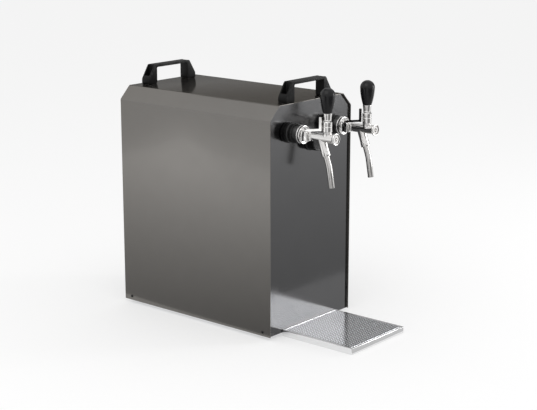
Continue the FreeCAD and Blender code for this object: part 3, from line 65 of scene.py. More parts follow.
def makeCamera():
    camera = newObject("photoCamera", bpy.data.cameras.new("photoCamera"))
    camera.data.lens = view["lens"]
    camera.data.sensor_width = view["sensor"]
    camera.location = view["place"]
    camera.rotation_euler = (radians(90 + view["pitch"]), 0, -radians(view["heading"]))
    scene.camera = camera


makeCamera()
print("camera placed")

# node helpers; a socket is fed a plain value or another node's output


def feed(tree, socket, value):
    if isinstance(value, bpy.types.NodeSocket):
        tree.links.new(value, socket)
    else:
        socket.default_value = value


def addNode(tree, kind, inputs=None, **settings):
    node = tree.nodes.new(kind)
    for key, value in settings.items():
        setattr(node, key, value)
    for key, value in (inputs or {}).items():
        feed(tree, node.inputs[key], value)
    return node


# each input is a kind of socket, or a default whose type says the kind
def startGroup(name, treeKind, inputs, outputs):
    group = bpy.data.node_groups.new(name, treeKind)
    kinds = {int: "Int", float: "Float", tuple: "Vector"}
    for label, value in inputs.items():
        kind = value if isinstance(value, str) else kinds[type(value)]
        socket = group.interface.new_socket(name=label, in_out="INPUT", socket_type="NodeSocket" + kind)
        if not isinstance(value, str):
            socket.default_value = value
    for label, kind in outputs.items():
        group.interface.new_socket(name=label, in_out="OUTPUT", socket_type="NodeSocket" + kind)
    return group, group.nodes.new("NodeGroupInput").outputs, group.nodes.new("NodeGroupOutput").inputs


def number(tree, operation, *values):
    return addNode(tree, "ShaderNodeMath", dict(enumerate(values)), operation=operation).outputs[0]


def spread(tree, value, low, high, toLow=0.0, toHigh=1.0):
    limits = {"Value": value, "From Min": low, "From Max": high, "To Min": toLow, "To Max": toHigh}
    return addNode(tree, "ShaderNodeMapRange", limits, interpolation_type="SMOOTHSTEP").outputs["Result"]


def noise(tree, where, scale, detail, roughness=0.5, distortion=0.0):
    return addNode(tree, "ShaderNodeTexNoise", {
        "Vector": where, "Scale": scale, "Detail": detail, "Roughness": roughness,
        "Distortion": distortion}).outputs["Fac"]


# shader groups that the finishes share


def startEffect(name, inputs, *outputs):
    return startGroup(name, "ShaderNodeTree", {"Vector": "Vector", **inputs}, dict.fromkeys(outputs, "Float"))


def makeFineGrain():
    group, inside, out = startEffect("fineGrain", {"Scale": 900.0, "Swing": 0.04}, "Height", "Tone")
    broadScale = number(group, "MULTIPLY", inside["Scale"], 0.02)
    centred = number(group, "SUBTRACT", noise(group, inside["Vector"], broadScale, 4.0), 0.5)
    swing = number(group, "MULTIPLY", inside["Swing"], 4.0)
    feed(group, out["Height"], noise(group, inside["Vector"], inside["Scale"], 3.0))
    feed(group, out["Tone"], number(group, "MULTIPLY_ADD", centred, swing, 1.0))
    return group


def makeBrushedLines():
    inputs = {"Stretch": (1.0, 1.0, 1.0), "Scale": 1200.0}
    group, inside, out = startEffect("brushedLines", inputs, "Height", "Mask")
    factors = {0: inside["Vector"], 1: inside["Stretch"]}
    drawn = addNode(group, "ShaderNodeVectorMath", factors, operation="MULTIPLY").outputs[0]
    lines = noise(group, drawn, inside["Scale"], 5.0, 0.65)
    feed(group, out["Height"], lines)
    feed(group, out["Mask"], spread(group, lines, 0.35, 0.7))
    return group


def makeHandlingWear():
    group, inside, out = startEffect("handlingWear", {"Scale": 14.0, "Amount": 0.5}, "Mask")
    smears = noise(group, inside["Vector"], inside["Scale"], 6.0, 0.6, 0.7)
    feed(group, out["Mask"], number(group, "MULTIPLY", spread(group, smears, 0.46, 0.72), inside["Amount"]))
    return group


def makeDustFilm():
    group, inside, out = startEffect("dustFilm", {"Scale": 40.0, "Amount": 0.1}, "Mask")
    normal = addNode(group, "ShaderNodeNewGeometry").outputs["Normal"]
    upward = addNode(group, "ShaderNodeSeparateXYZ", {"Vector": normal}).outputs["Z"]
    specks = noise(group, inside["Vector"], inside["Scale"], 8.0, 0.7)
    patchy = number(group, "MULTIPLY", spread(group, upward, 0.25, 1.0), spread(group, specks, 0.4, 0.75))
    feed(group, out["Mask"], number(group, "MULTIPLY", patchy, inside["Amount"]))
    return group


def makeEdgeWear():
    group, inside, out = startEffect("edgeWear", {"Amount": 0.4}, "Mask")
    pointed = addNode(group, "ShaderNodeNewGeometry").outputs["Pointiness"]
    broken = noise(group, inside["Vector"], 220.0, 4.0)
    edge = number(group, "MULTIPLY", spread(group, pointed, 0.53, 0.62), spread(group, broken, 0.3, 0.6))
    feed(group, out["Mask"], number(group, "MULTIPLY", edge, inside["Amount"]))
    return group


shaderGroups = {"grain": makeFineGrain(), "lines": makeBrushedLines(), "wear": makeHandlingWear(),
                "dust": makeDustFilm(), "edge": makeEdgeWear()}


def placeGroup(tree, name, where, **inputs):
    values = {key.capitalize(): value for key, value in inputs.items()}
    return addNode(tree, "ShaderNodeGroup", {"Vector": where, **values}, node_tree=shaderGroups[name]).outputs


def blendColour(tree, amount, first, second):
    return addNode(tree, "ShaderNodeMix", {0: amount, 6: first, 7: second}, data_type="RGBA").outputs[2]


def newMaterial(name):
    material = bpy.data.materials.new(name)
    material.use_nodes = True
    return material, material.node_tree


def setShader(tree, values):
    for label, value in values.items():
        feed(tree, tree.nodes["Principled BSDF"].inputs[label], value)


# "tap_body" as "tapBody"
def camel(name):
    first, *rest = name.split("_")
    return first + "".join(word.capitalize() for word in rest)


# one look for each finish: colour, metal, gloss, and how much of each shared effect it carries;
# wear is (scale, amount), lines (stretch, scale), edge (amount, worn colour), bump in metres
usualLook = dict(
    metal=0.0, specular=0.5, tint=(1.0, 1.0, 1.0), coat=0.0, coatRoughness=0.03, tone=0.05, bump=0.00001)
finishLooks = {
    "cover_paint": dict(
        colour=(0.186, 0.178, 0.168), metal=0.88, roughness=0.165, tint=(0.45, 0.42, 0.38), coat=0.2,
        coatRoughness=0.05, grain=1500.0, tone=0.02, bump=0.000001, wear=(9.0, 0.04), dust=0.01),
    "panel_paint": dict(
        colour=(0.100, 0.100, 0.102), metal=1.0, roughness=0.13, grain=900.0, tone=0.02, bump=0.000001,
        wear=(11.0, 0.03), dust=0.0),
    "black_plastic": dict(
        colour=(0.006, 0.006, 0.006), roughness=0.40, specular=0.14, grain=2600.0, tone=0.08, bump=0.00003,
        wear=(25.0, 0.14), dust=0.01),
    "knob_plastic": dict(
        colour=(0.005, 0.005, 0.006), roughness=0.24, specular=0.28, grain=700.0, wear=(40.0, 0.12),
        dust=0.02),
    "tap_chrome": dict(
        colour=(0.71, 0.70, 0.69), metal=1.0, roughness=0.05, grain=500.0, tone=0.02, bump=0.000006,
        wear=(60.0, 0.06), dust=0.01),
    "tray_steel": dict(
        colour=(0.80, 0.81, 0.83), metal=1.0, roughness=0.13, lines=((1.0, 0.04, 1.0), 1500.0), tone=0.03,
        bump=0.000006, wear=(22.0, 0.10), dust=0.02),
    "foot_rubber": dict(
        colour=(0.022, 0.022, 0.022), roughness=0.75, grain=1800.0, tone=0.15, bump=0.00006, wear=(60.0, 0.1),
        dust=0.15),
    "zinc_steel": dict(
        colour=(0.50, 0.51, 0.53), metal=1.0, roughness=0.42, cells=70.0, wear=(16.0, 0.15), dust=0.12),
    "cast_aluminium": dict(
        colour=(0.62, 0.62, 0.63), metal=1.0, roughness=0.5, grain=1400.0, bump=0.00008, wear=(20.0, 0.1),
        dust=0.05),
    "foam": dict(
        colour=(0.78, 0.70, 0.46), roughness=0.9, cells=900.0, tone=0.10, bump=0.0002, wear=(14.0, 0.2),
        dust=0.1),
    "copper": dict(
        colour=(0.70, 0.36, 0.22), metal=1.0, roughness=0.28, grain=600.0, tone=0.10, wear=(45.0, 0.35),
        dust=0.03),
    "beer_line_steel": dict(
        colour=(0.60, 0.60, 0.60), metal=1.0, roughness=0.22, lines=((1.0, 1.0, 0.05), 1500.0), tone=0.03,
        wear=(40.0, 0.1), dust=0.03),
    "compressor_paint": dict(
        colour=(0.016, 0.016, 0.017), roughness=0.32, coat=0.5, coatRoughness=0.15, grain=500.0, tone=0.08,
        bump=0.00005, wear=(16.0, 0.12), dust=0.15),
    "screw_black": dict(
        colour=(0.020, 0.020, 0.020), metal=0.6, roughness=0.38, grain=2500.0, tone=0.10, bump=0.00002,
        wear=(200.0, 0.2), dust=0.02, edge=(0.4, (0.16, 0.16, 0.16))),
    "fitting_brass": dict(
        colour=(0.72, 0.55, 0.28), metal=1.0, roughness=0.24, lines=((1.0, 0.05, 1.0), 1800.0),
        wear=(50.0, 0.2), dust=0.03),
}
dustLook = dict(colour=(0.42, 0.40, 0.37, 1.0), scale=90.0, dulling=1.5)


def makeFinish(name, ownLook):
    look = usualLook | ownLook
    material, tree = newMaterial(camel(name))
    where = addNode(tree, "ShaderNodeTexCoord").outputs["Object"]
    wearScale, wearAmount = look["wear"]
    wear = placeGroup(tree, "wear", where, scale=wearScale, amount=wearAmount)["Mask"]
    dust = placeGroup(tree, "dust", where, scale=dustLook["scale"], amount=look["dust"])["Mask"]
    swing = look["tone"]
    if "lines" in look:
        stretch, scale = look["lines"]
        surface = placeGroup(tree, "lines", where, stretch=stretch, scale=scale)
        tone = spread(tree, surface["Mask"], 0.0, 1.0, 1 - swing, 1 + swing)
        height = surface["Height"]
    elif "cells" in look:
        surface = addNode(tree, "ShaderNodeTexVoronoi", {"Vector": where, "Scale": look["cells"]}).outputs
        grey = addNode(tree, "ShaderNodeSeparateColor", {"Color": surface["Color"]}).outputs[0]
        tone = spread(tree, grey, 0.0, 1.0, 1 - 2 * swing, 1 + swing)
        height = surface["Distance"]
    else:
        surface = placeGroup(tree, "grain", where, scale=look["grain"], swing=swing)
        tone, height = surface["Tone"], surface["Height"]
    toned = addNode(tree, "ShaderNodeVectorMath", {0: look["colour"], "Scale": tone}, operation="SCALE")
    colour = toned.outputs[0]
    if "edge" in look:
        amount, worn = look["edge"]
        edge = placeGroup(tree, "edge", where, amount=amount)["Mask"]
        colour = blendColour(tree, edge, colour, (*worn, 1.0))
    rough = number(tree, "ADD", wear, look["roughness"])
    bump = addNode(tree, "ShaderNodeBump", {"Height": height, "Strength": 1.0, "Distance": look["bump"]})
    setShader(tree, {
        "Base Color": blendColour(tree, dust, colour, dustLook["colour"]),
        "Roughness": number(tree, "ADD", rough, number(tree, "MULTIPLY", dust, dustLook["dulling"])),
        "Metallic": look["metal"], "Specular IOR Level": look["specular"],
        "Specular Tint": (*look["tint"], 1.0), "Coat Weight": look["coat"],
        "Coat Roughness": look["coatRoughness"], "Normal": bump.outputs["Normal"]})
    material.diffuse_color = (*look["colour"], 1.0)
    return material


finishes = {name: makeFinish(name, look) for name, look in finishLooks.items()}

# the same finishes worked differently on some pieces
variantLooks = {
    "spoutSteel": ("tap_chrome", dict(
        colour=(0.54, 0.53, 0.52), roughness=0.19, lines=((1.0, 1.0, 0.03), 900.0), bump=0.00001)),
    "rimSteel": ("tray_steel", dict(colour=(0.82, 0.82, 0.825), roughness=0.07)),
    "couplingPlastic": ("black_plastic", dict(specular=0.45, roughness=0.26)),
}
for variantName, (baseName, changes) in variantLooks.items():
    finishes[variantName] = makeFinish(variantName, finishLooks[baseName] | changes)
print("finishes made")

nodeSlots = {entry["node"]: entry["material_slot"] for entry in frame["record"]["subparts"]}

# mesh helpers: everything below is drawn in millimetres

sharpAngle = 32.0  # edges bent further than this stay sharp
axes = {
    "forward": lambda across, high, along: (across, -along, high),
    "up": lambda across, high, along: (across, high, along),
    "left": lambda across, high, along: (-along, across, high),
}


def newMesh(name, points, faces=(), edges=()):
    mesh = bpy.data.meshes.new(name)
    mesh.from_pydata(points, edges, faces)
    return mesh


def finishMesh(mesh, name):
    shape = bmesh.new()
    shape.from_mesh(mesh)
    bmesh.ops.remove_doubles(shape, verts=shape.verts, dist=0.0005)
    bmesh.ops.recalc_face_normals(shape, faces=shape.faces)
    shape.to_mesh(mesh)
    shape.free()
    mesh.name = name
    mesh.polygons.foreach_set("use_smooth", [True] * len(mesh.polygons))
    mesh.set_sharp_from_angle(angle=radians(sharpAngle))
    mesh.update()
    return mesh


# rings of equally many points, joined by quads
def ringStack(rings, loop=False, caps=True):
    count, last = len(rings[0]), len(rings) - 1
    faces = []
    for first, second in [(index, index + 1) for index in range(last)] + ([(last, 0)] if loop else []):
        for index in range(count):
            following = (index + 1) % count
            faces.append((first * count + index, first * count + following,
                          second * count + following, second * count + index))
    if caps and not loop:
        faces += [tuple(range(count)), tuple(last * count + index for index in range(count))]
    return finishMesh(newMesh("rings", [tuple(point) for ring in rings for point in ring], faces), "rings")


# the profile with its corners rounded off; nearly straight ones stay
def softened(profile, radius, steps=2, loop=False):
    result = []
    for index, corner in enumerate(profile):
        here, before, after = (Vector(profile[at % len(profile)]) for at in (index, index - 1, index + 1))
        toBefore, toAfter = before - here, after - here
        atEnd = not loop and index in (0, len(profile) - 1)
        if atEnd or min(toBefore.length, toAfter.length) < 1e-6 or toBefore.angle(toAfter) > radians(158):
            result.append(corner)
            continue
        size = min(radius, 0.45 * toBefore.length, 0.45 * toAfter.length)
        start, end = here + toBefore.normalized() * size, here + toAfter.normalized() * size
        for step in range(steps + 1):
            share = step / steps
            spot = start * (1 - share) ** 2 + here * 2 * share * (1 - share) + end * share ** 2
            result.append((spot.x, spot.y))
    return result


# points after start along an arc that bows right of the way along; a negative radius bows left
def arcPoints(start, end, radius, steps):
    first, last = Vector(start), Vector(end)
    chord = last - first
    side = Vector((chord.y, -chord.x)).normalized() * (1 if radius > 0 else -1)
    size = abs(radius)
    drop = sqrt(max(size * size - chord.length ** 2 / 4, 0))
    centre = (first + last) / 2 - side * drop
    startAngle = atan2(*(first - centre).yx)
    endAngle = atan2(*(last - centre).yx)
    sweep = (endAngle - startAngle + pi) % (2 * pi) - pi
    angles = [startAngle + sweep * step / steps for step in range(1, steps + 1)]
    return [(centre.x + size * cos(angle), centre.y + size * sin(angle)) for angle in angles]


# solid turned from (radius, distance) points
def lathe(profile, axis="up", sides=48, loop=False, ripple=None):
    rings = []
    for radius, along in profile:
        ring = []
        for side in range(sides):
            angle = 2 * pi * side / sides
            size = radius * (ripple(angle, radius, along) if ripple else 1.0)
            ring.append(axes[axis](size * cos(angle), size * sin(angle), along))
        rings.append(ring)
    return ringStack(rings, loop=loop)


# lathe profile of a plain cylinder
def rod(radius, low, high):
    return [(0.0, low), (radius, low), (radius, high), (0.0, high)]


def rectangle(low, high):
    return [(low[0], low[1]), (high[0], low[1]), (high[0], high[1]), (low[0], high[1])]


# outline of (u, v) points carried from low to high along the place's axis
def prism(outline, place, low, high):
    count = len(outline)
    points = [place(u, v, end) for end in (low, high) for u, v in outline]
    faces = [tuple(range(count)), tuple(range(2 * count - 1, count - 1, -1))]
    for index in range(count):
        following = (index + 1) % count
        faces.append((index, following, following + count, index + count))
    return finishMesh(newMesh("prism", points, faces), "prism")


def boxMesh(low, high):
    return prism(rectangle(low, high), axes["up"], low[2], high[2])


# plain mesh of the helper object with its modifiers worked in; the helpers are then removed
def baked(helper, *extras):
    graph = bpy.context.evaluated_depsgraph_get()
    result = bpy.data.meshes.new_from_object(helper.evaluated_get(graph))
    helper.modifiers.clear()
    for item in (helper, *extras):
        bpy.data.objects.remove(item)
    return result


def combined(mesh, operation, tools):
    helper, extras = newObject("helper", mesh), [newObject("helperTool", tool) for tool in tools]
    for tool in extras:
        modifier = helper.modifiers.new("combine", "BOOLEAN")
        modifier.object, modifier.operation, modifier.solver = tool, operation, "EXACT"
    return baked(helper, *extras)


def cutOut(mesh, *tools):
    return combined(mesh, "DIFFERENCE", tools)


def weld(mesh, *others):
    return combined(mesh, "UNION", others)


def softEdges(mesh, width, steps, angle):
    helper = newObject("helper", mesh)
    modifier = helper.modifiers.new("soften", "BEVEL")
    modifier.width, modifier.segments, modifier.limit_method = width, steps, "ANGLE"
    modifier.angle_limit, modifier.use_clamp_overlap = radians(angle), True
    return baked(helper)


# several meshes as one
def gathered(*meshes):
    shape = bmesh.new()
    for mesh in meshes:
        shape.from_mesh(mesh)
    result = bpy.data.meshes.new("gathered")
    shape.to_mesh(result)
    shape.free()
    return result


def moved(mesh, offset=(0, 0, 0), turn=None):
    copy = mesh.copy()
    copy.transform(Matrix.Translation(offset) @ (turn or Matrix.Identity(4)))
    return copy


# a finished piece in metres that rides on its body in place of its CAD nodes
def addPiece(name, mesh, finish, body, nodes):
    mesh = finishMesh(mesh, name)
    mesh.transform(Matrix.Scale(1 / metre, 4))
    mesh.materials.clear()
    mesh.materials.append(finishes[finish])
    mesh.polygons.foreach_set("material_index", [0] * len(mesh.polygons))
    piece = newObject(name, mesh)
    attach(piece, body)
    if nodes:
        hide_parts(*nodes)


def boxOf(node):
    low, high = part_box(node)
    return Vector(low) * metre, Vector(high) * metre


# geometry node trees


# first output of a new geometry node
def grown(tree, kind, inputs, **settings):
    return addNode(tree, "GeometryNode" + kind, inputs, **settings).outputs[0]


def startTree(name, inputs):
    ends = {"Geometry": "Geometry"}
    return startGroup(name, "GeometryNodeTree", {**ends, **inputs, "Material": "Material"}, ends)


# every tree ends in plain geometry that carries its finish
def endTree(tree, inside, out, geometry, weldDistance=None):
    real = grown(tree, "RealizeInstances", {"Geometry": geometry})
    if weldDistance is not None:
        real = grown(tree, "MergeByDistance", {"Geometry": real, "Distance": weldDistance})
    feed(tree, out[0], grown(tree, "SetMaterial", {"Geometry": real, "Material": inside["Material"]}))
    return tree


# sheet bent along a drawn line, with rounded bends and edges
def makeSheetTree():
    tree, inside, out = startTree("bentSheet", {
        "Bend Radius": 3.0, "Bend Steps": 5, "Depth": 400.0, "Wall": 1.2, "Edge Radius": 0.4})
    line = grown(tree, "MeshToCurve", {"Mesh": inside["Geometry"]})
    section = grown(tree, "CurvePrimitiveQuadrilateral", {"Width": inside["Wall"], "Height": inside["Depth"]})
    bent = grown(tree, "FilletCurve", {
        "Curve": line, "Count": inside["Bend Steps"], "Radius": inside["Bend Radius"]}, mode="POLY")
    rounded = grown(tree, "FilletCurve", {
        "Curve": section, "Count": 3, "Radius": inside["Edge Radius"]}, mode="POLY")
    swept = grown(tree, "CurveToMesh", {"Curve": bent, "Profile Curve": rounded, "Fill Caps": True})
    return endTree(tree, inside, out, swept)


# one shape repeated in columns and rows
def makeGridTree():
    tree, inside, out = startTree("shapeGrid", {
        "Columns": 2, "Rows": 2, "Column Pitch": 5.0, "Row Pitch": 5.0, "Turn": "Rotation",
        "Centre": (0.0, 0.0, 0.0), "Weld": 0.001})
    spans = [number(tree, "MULTIPLY", number(tree, "SUBTRACT", inside[count], 1.0), inside[pitch])
             for count, pitch in (("Columns", "Column Pitch"), ("Rows", "Row Pitch"))]
    grid = grown(tree, "MeshGrid", {
        "Size X": spans[0], "Size Y": spans[1], "Vertices X": inside["Columns"],
        "Vertices Y": inside["Rows"]})
    placed = grown(tree, "Transform", {
        "Geometry": grid, "Translation": inside["Centre"], "Rotation": inside["Turn"]})
    copies = grown(tree, "InstanceOnPoints", {"Points": placed, "Instance": inside["Geometry"]})
    return endTree(tree, inside, out, copies, inside["Weld"])


# one shape set on each point, turned as the point's attribute says
def makePointsTree():
    tree, inside, out = startTree("shapeOnPoints", {"Shape": "Object", "Size": 1.0})
    shape = addNode(tree, "GeometryNodeObjectInfo", {"Object": inside["Shape"]}, transform_space="ORIGINAL")
    facing = grown(tree, "InputNamedAttribute", {"Name": "facing"}, data_type="FLOAT_VECTOR")
    turned = addNode(tree, "FunctionNodeEulerToRotation", {"Euler": facing}).outputs[0]
    copies = grown(tree, "InstanceOnPoints", {
        "Points": inside["Geometry"], "Instance": shape.outputs["Geometry"], "Rotation": turned,
        "Scale": inside["Size"]})
    return endTree(tree, inside, out, copies)


trees = {"sheet": makeSheetTree(), "grid": makeGridTree(), "points": makePointsTree()}


# plain mesh from a geometry node tree run on a mesh
def grow(mesh, treeName, inputs):
    helper = newObject("helper", mesh)
    modifier = helper.modifiers.new("grow", "NODES")
    modifier.node_group = trees[treeName]
    for item in trees[treeName].interface.items_tree:
        if item.item_type == "SOCKET" and item.in_out == "INPUT" and item.name in inputs:
            modifier[item.identifier] = inputs[item.name]
    return baked(helper)


# copies of a shape on spots, each (place, turn)
def setOnPoints(shape, spots, finish):
    mesh = newMesh("spots", [place for place, turn in spots])
    facing = mesh.attributes.new("facing", "FLOAT_VECTOR", "POINT")
    for index, (place, turn) in enumerate(spots):
        facing.data[index].vector = turn
    shapeObject = newObject("shape", shape)
    result = grow(mesh, "points", {"Shape": shapeObject, "Material": finishes[finish]})
    bpy.data.objects.remove(shapeObject)
    return result


print("trees made")

# casing: folded cover, screws, handles, feet

cover = dict(wall=1.2, shoulder=27.5, bend=3.2, bendSteps=6, edge=0.42)


def makeCover():
    low, high = boxOf("outer_cover")
    halfWall = cover["wall"] / 2
    half, top = high.x - halfWall, high.z - halfWall
    slope = cover["shoulder"] - halfWall + halfWall * (sqrt(2) - 1)  # measured on the sheet's middle
    line = [
        (-half, low.z), (-half, top - slope), (-half + slope, top), (half - slope, top), (half, top - slope),
        (half, low.z)]
    middle = (low.y + high.y) / 2
    mesh = newMesh("coverLine", [(x, middle, z) for x, z in line], edges=[(at, at + 1) for at in range(5)])
    mesh = grow(mesh, "sheet", {
        "Bend Radius": cover["bend"], "Bend Steps": cover["bendSteps"], "Depth": high.y - low.y,
        "Wall": cover["wall"], "Edge Radius": cover["edge"], "Material": finishes["cover_paint"]})
    addPiece("caseCover", mesh, "cover_paint", "cooler", ["outer_cover"])


makeCover()

handle = dict(
    length=148.0, crown=110.0, height=41.0, shoulder=11.0, leg=26.0, grip=5.5, corner=3.0, pocket=18.0,
    pocketInset=13.5, pocketFloor=5.5, pocketCorner=2.0, wall=3.0, edge=1.1)

# a screw is its head's radius, rise and slot width; shank, crown and slot length are shares of the head
screw = dict(
    small=(3.1, 1.8, 0.75), big=(4.3, 2.2, 1.0), shank=0.45, crown=1.35, slotLength=0.62, rim=0.35,
    slotDepth=0.9, spin=0.4, height=8.5, sideInset=21.0, rearInset=28.0)


# pan head with a cross recess, standing up on its shank
def screwShape(head, rise, slot):
    rim, shank, reach = rise * screw["rim"], head * screw["shank"], head * screw["slotLength"]
    crown = arcPoints((head, rim), (0.0, rise), head * screw["crown"], 6)
    blank = lathe([(0.0, -1.0), (shank, -1.0), (shank, 0.0), (head, 0.0), (head, rim)] + crown, sides=20)
    arms = [boxMesh((-x, -y, rise - screw["slotDepth"]), (x, y, rise + 1))
            for x, y in ((reach, slot / 2), (slot / 2, reach))]
    return moved(cutOut(blank, *arms), turn=Matrix.Rotation(screw["spin"], 4, "Z"))


def makeScrews():
    quarter = pi / 2
    low, high = boxOf("outer_cover")
    height, rearFace = low.z + screw["height"], boxOf("rear_panel")[1].y
    inSides = [((x, y, height), (0, turn, 0)) for x, turn in ((low.x, -quarter), (high.x, quarter))
               for y in (low.y + screw["sideInset"], high.y - screw["sideInset"])]
    inRear = [((x, rearFace, height), (-quarter, 0, 0))
              for x in (low.x + screw["rearInset"], high.x - screw["rearInset"])]
    inPockets = []
    for node in ("front_handle", "rear_handle"):
        first, last = boxOf(node)
        inPockets += [((x, (first.y + last.y) / 2, first.z + handle["pocketFloor"]), (0, 0, 0))
                      for x in (first.x + handle["pocketInset"], last.x - handle["pocketInset"])]
    small, big = screwShape(*screw["small"]), screwShape(*screw["big"])
    sets = (("cover", small, inSides), ("rear", small, inRear), ("handle", big, inPockets))
    for word, shape, spots in sets:
        mesh = setOnPoints(shape, spots, "screw_black")
        addPiece(word + "Screws", mesh, "screw_black", "cooler", [word + "_screws"])


makeScrews()


def makeHandle(side):
    low, high = boxOf(side + "_handle")
    middle, half, crown = (low.y + high.y) / 2, handle["length"] / 2, handle["crown"] / 2
    leg, under = half - handle["leg"], handle["height"] - handle["grip"]
    outline = [
        (-half, 0.0), (-leg, 0.0), (-leg, under), (leg, under), (leg, 0.0), (half, 0.0),
        (half, handle["shoulder"]), (crown, handle["height"]), (-crown, handle["height"]),
        (-half, handle["shoulder"])]
    outline = softened(outline, handle["corner"], 4, loop=True)
    body = prism(outline, lambda u, v, along: (u, along, v + low.z), low.y, high.y)
    mouth, inner, floor = handle["pocket"] / 2, (high.y - low.y) / 2 - handle["wall"], handle["pocketFloor"]
    tools = []
    for centre in (handle["pocketInset"] - half, half - handle["pocketInset"]):
        rings = []
        for height, narrow in ((floor, 0.7), (floor + 0.8, 0.1), (60.0, 0.0)):  # rounded at the floor
            corners = rectangle((narrow - mouth, narrow - inner), (mouth - narrow, inner - narrow))
            corners = softened(corners, handle["pocketCorner"], 3, loop=True)
            rings.append([(centre + u, middle + v, low.z + height) for u, v in corners])
        tools.append(ringStack(rings))
    mesh = softEdges(cutOut(body, *tools), handle["edge"], 3, 35.0)
    addPiece(side + "Handle", mesh, "black_plastic", "cooler", [side + "_handle"])


makeHandle("front")
makeHandle("rear")
print("handles made")

foot = dict(top=13.0, bottom=11.0, height=7.5, inset=32.0)


def makeFeet():
    low, high = boxOf("outer_cover")
    tall, bottom, inset = foot["height"], foot["bottom"], foot["inset"]
    profile = softened([(0.0, 0.3), (bottom - 3.0, 0.3), (bottom - 3.0, 0.0), (bottom, 0.0),
                        (bottom + 0.9, tall * 0.5), (bottom + 0.5, tall * 0.55), (bottom + 0.9, tall * 0.62),
                        (foot["top"], tall), (0.0, tall)], 0.5)
    shape = lathe(profile, sides=40)
    feet = [moved(shape, (x, y, 0)) for x in (low.x + inset, high.x - inset)
            for y in (low.y + inset, high.y - inset)]
    addPiece("rubberFeet", gathered(*feet), "foot_rubber", "cooler", ["rubber_feet"])


makeFeet()

# drip tray and its perforated grille

tray = dict(
    rim=5.0, wall=1.2, corner=2.5, cornerSteps=5, height=14.0, pitch=6.6, hole=1.9, holeSides=12, sink=0.6,
    plate=1.2, columns=25, rows=25)


def roundedRing(halfX, halfY, corner, centreY, z):
    ring = []
    for signX, signY, start in ((1, 1, 0.0), (-1, 1, 0.5), (-1, -1, 1.0), (1, -1, 1.5)):
        for step in range(tray["cornerSteps"] + 1):
            angle = pi * (start + 0.5 * step / tray["cornerSteps"])
            x = signX * (halfX - corner) + corner * cos(angle)
            ring.append((x, centreY + signY * (halfY - corner) + corner * sin(angle), z))
    return ring


# section points are (way in from the edge, height)
def makeTray():
    low, high = boxOf("drip_tray")
    halfX, halfY, centreY = (high.x - low.x) / 2, (high.y - low.y) / 2, (low.y + high.y) / 2
    rim, wall, tall = tray["rim"], tray["wall"], tray["height"]
    section = [
        (1.2, 0.0), (0.35, 0.35), (0.0, 1.2), (0.0, tall - 1.0), (0.12, tall - 0.5), (0.5, tall - 0.12),
        (1.0, tall), (rim - 0.7, tall), (rim - 0.2, tall - 0.2), (rim, tall - 0.6), (rim, tall - wall - 1.6),
        (rim - 0.5, tall - wall - 1.6), (rim - 0.5, tall - wall), (wall, tall - wall), (wall, wall + 0.9),
        (wall + 0.3, wall + 0.3), (wall + 0.9, wall)]
    rings = [roundedRing(halfX - inward, halfY - inward, max(tray["corner"] - inward, 0.25), centreY, z)
             for inward, z in section]
    addPiece("dripTray", ringStack(rings), "rimSteel", "drip_tray", ["drip_tray"])


makeTray()


# one square of plate with its countersunk hole, open at its sides so that neighbours join
def perforatedCell():
    half, hole, plate, sides = tray["pitch"] / 2, tray["hole"], tray["plate"], tray["holeSides"]
    quarter = sides // 4

    def circle(radius, z):
        turns = [2 * pi * (step + 0.5) / sides for step in range(sides)]
        return [(radius * cos(turn), radius * sin(turn), z) for turn in turns]

    points, faces = [], []
    for z, radius, flip in ((0.0, hole + tray["sink"], False), (-plate, hole, True)):
        base = len(points)
        points += [(*corner, z) for corner in ((half, half), (-half, half), (-half, -half), (half, -half))]
        points += circle(radius, z)
        triangles = []
        for corner in range(4):
            around = [base + 4 + (corner * quarter + step) % sides for step in range(-1, quarter)]
            triangles += [(base + corner, after, before) for before, after in zip(around, around[1:])]
            triangles.append((base + corner, base + (corner + 1) % 4, around[-1]))
        faces += triangles if flip else [tuple(reversed(face)) for face in triangles]
    rings = [4, len(points), 4 + 4 + sides]  # where the hole's circles start, from the top down
    points += circle(hole, -tray["sink"] * 0.7)
    for upper, lower in zip(rings, rings[1:]):
        for step in range(sides):
            following = (step + 1) % sides
            faces.append((upper + step, upper + following, lower + following, lower + step))
    return newMesh("cell", points, faces)


def makeGrille():
    low, high = boxOf("drip_grille")
    centreY = (low.y + high.y) / 2
    halfX, halfY, top, plate = (high.x - low.x) / 2, (high.y - low.y) / 2, high.z, tray["plate"]
    columns, rows, pitch = tray["columns"], tray["rows"], tray["pitch"]
    cells = grow(perforatedCell(), "grid", {
        "Columns": columns, "Rows": rows, "Column Pitch": pitch, "Row Pitch": pitch,
        "Centre": (0.0, centreY, top), "Weld": 0.01, "Material": finishes["tray_steel"]})
    fieldX, fieldY = columns * pitch / 2, rows * pitch / 2
    edge = []
    for side, count in enumerate((columns, rows, columns, rows)):
        for step in range(count):
            share = 1 - 2 * step / count
            edge.append([(share, 1), (-1, share), (-share, -1), (1, -share)][side])
    depth = top - low.z
    section = [
        (0.0, 0.0, 0.0), (1.0, -0.5, 0.0), (1.0, -0.12, -0.12), (1.0, 0.0, -0.5), (1.0, 0.0, -depth),
        (1.0, -plate, -depth), (1.0, -plate, -plate), (0.0, 0.0, -plate)]
    rings = []
    for outer, inset, z in section:
        reachX, reachY = (halfX, halfY) if outer else (fieldX, fieldY)
        rings.append([(u * (reachX + inset), centreY + v * (reachY + inset), top + z) for u, v in edge])
    border = ringStack(rings, caps=False)
    addPiece("dripGrille", gathered(cells, border), "tray_steel", "drip_grille", ["drip_grille"])


makeGrille()
print("tray made")

# taps, drawn round their own axis: across, forward of the panel, above the axis

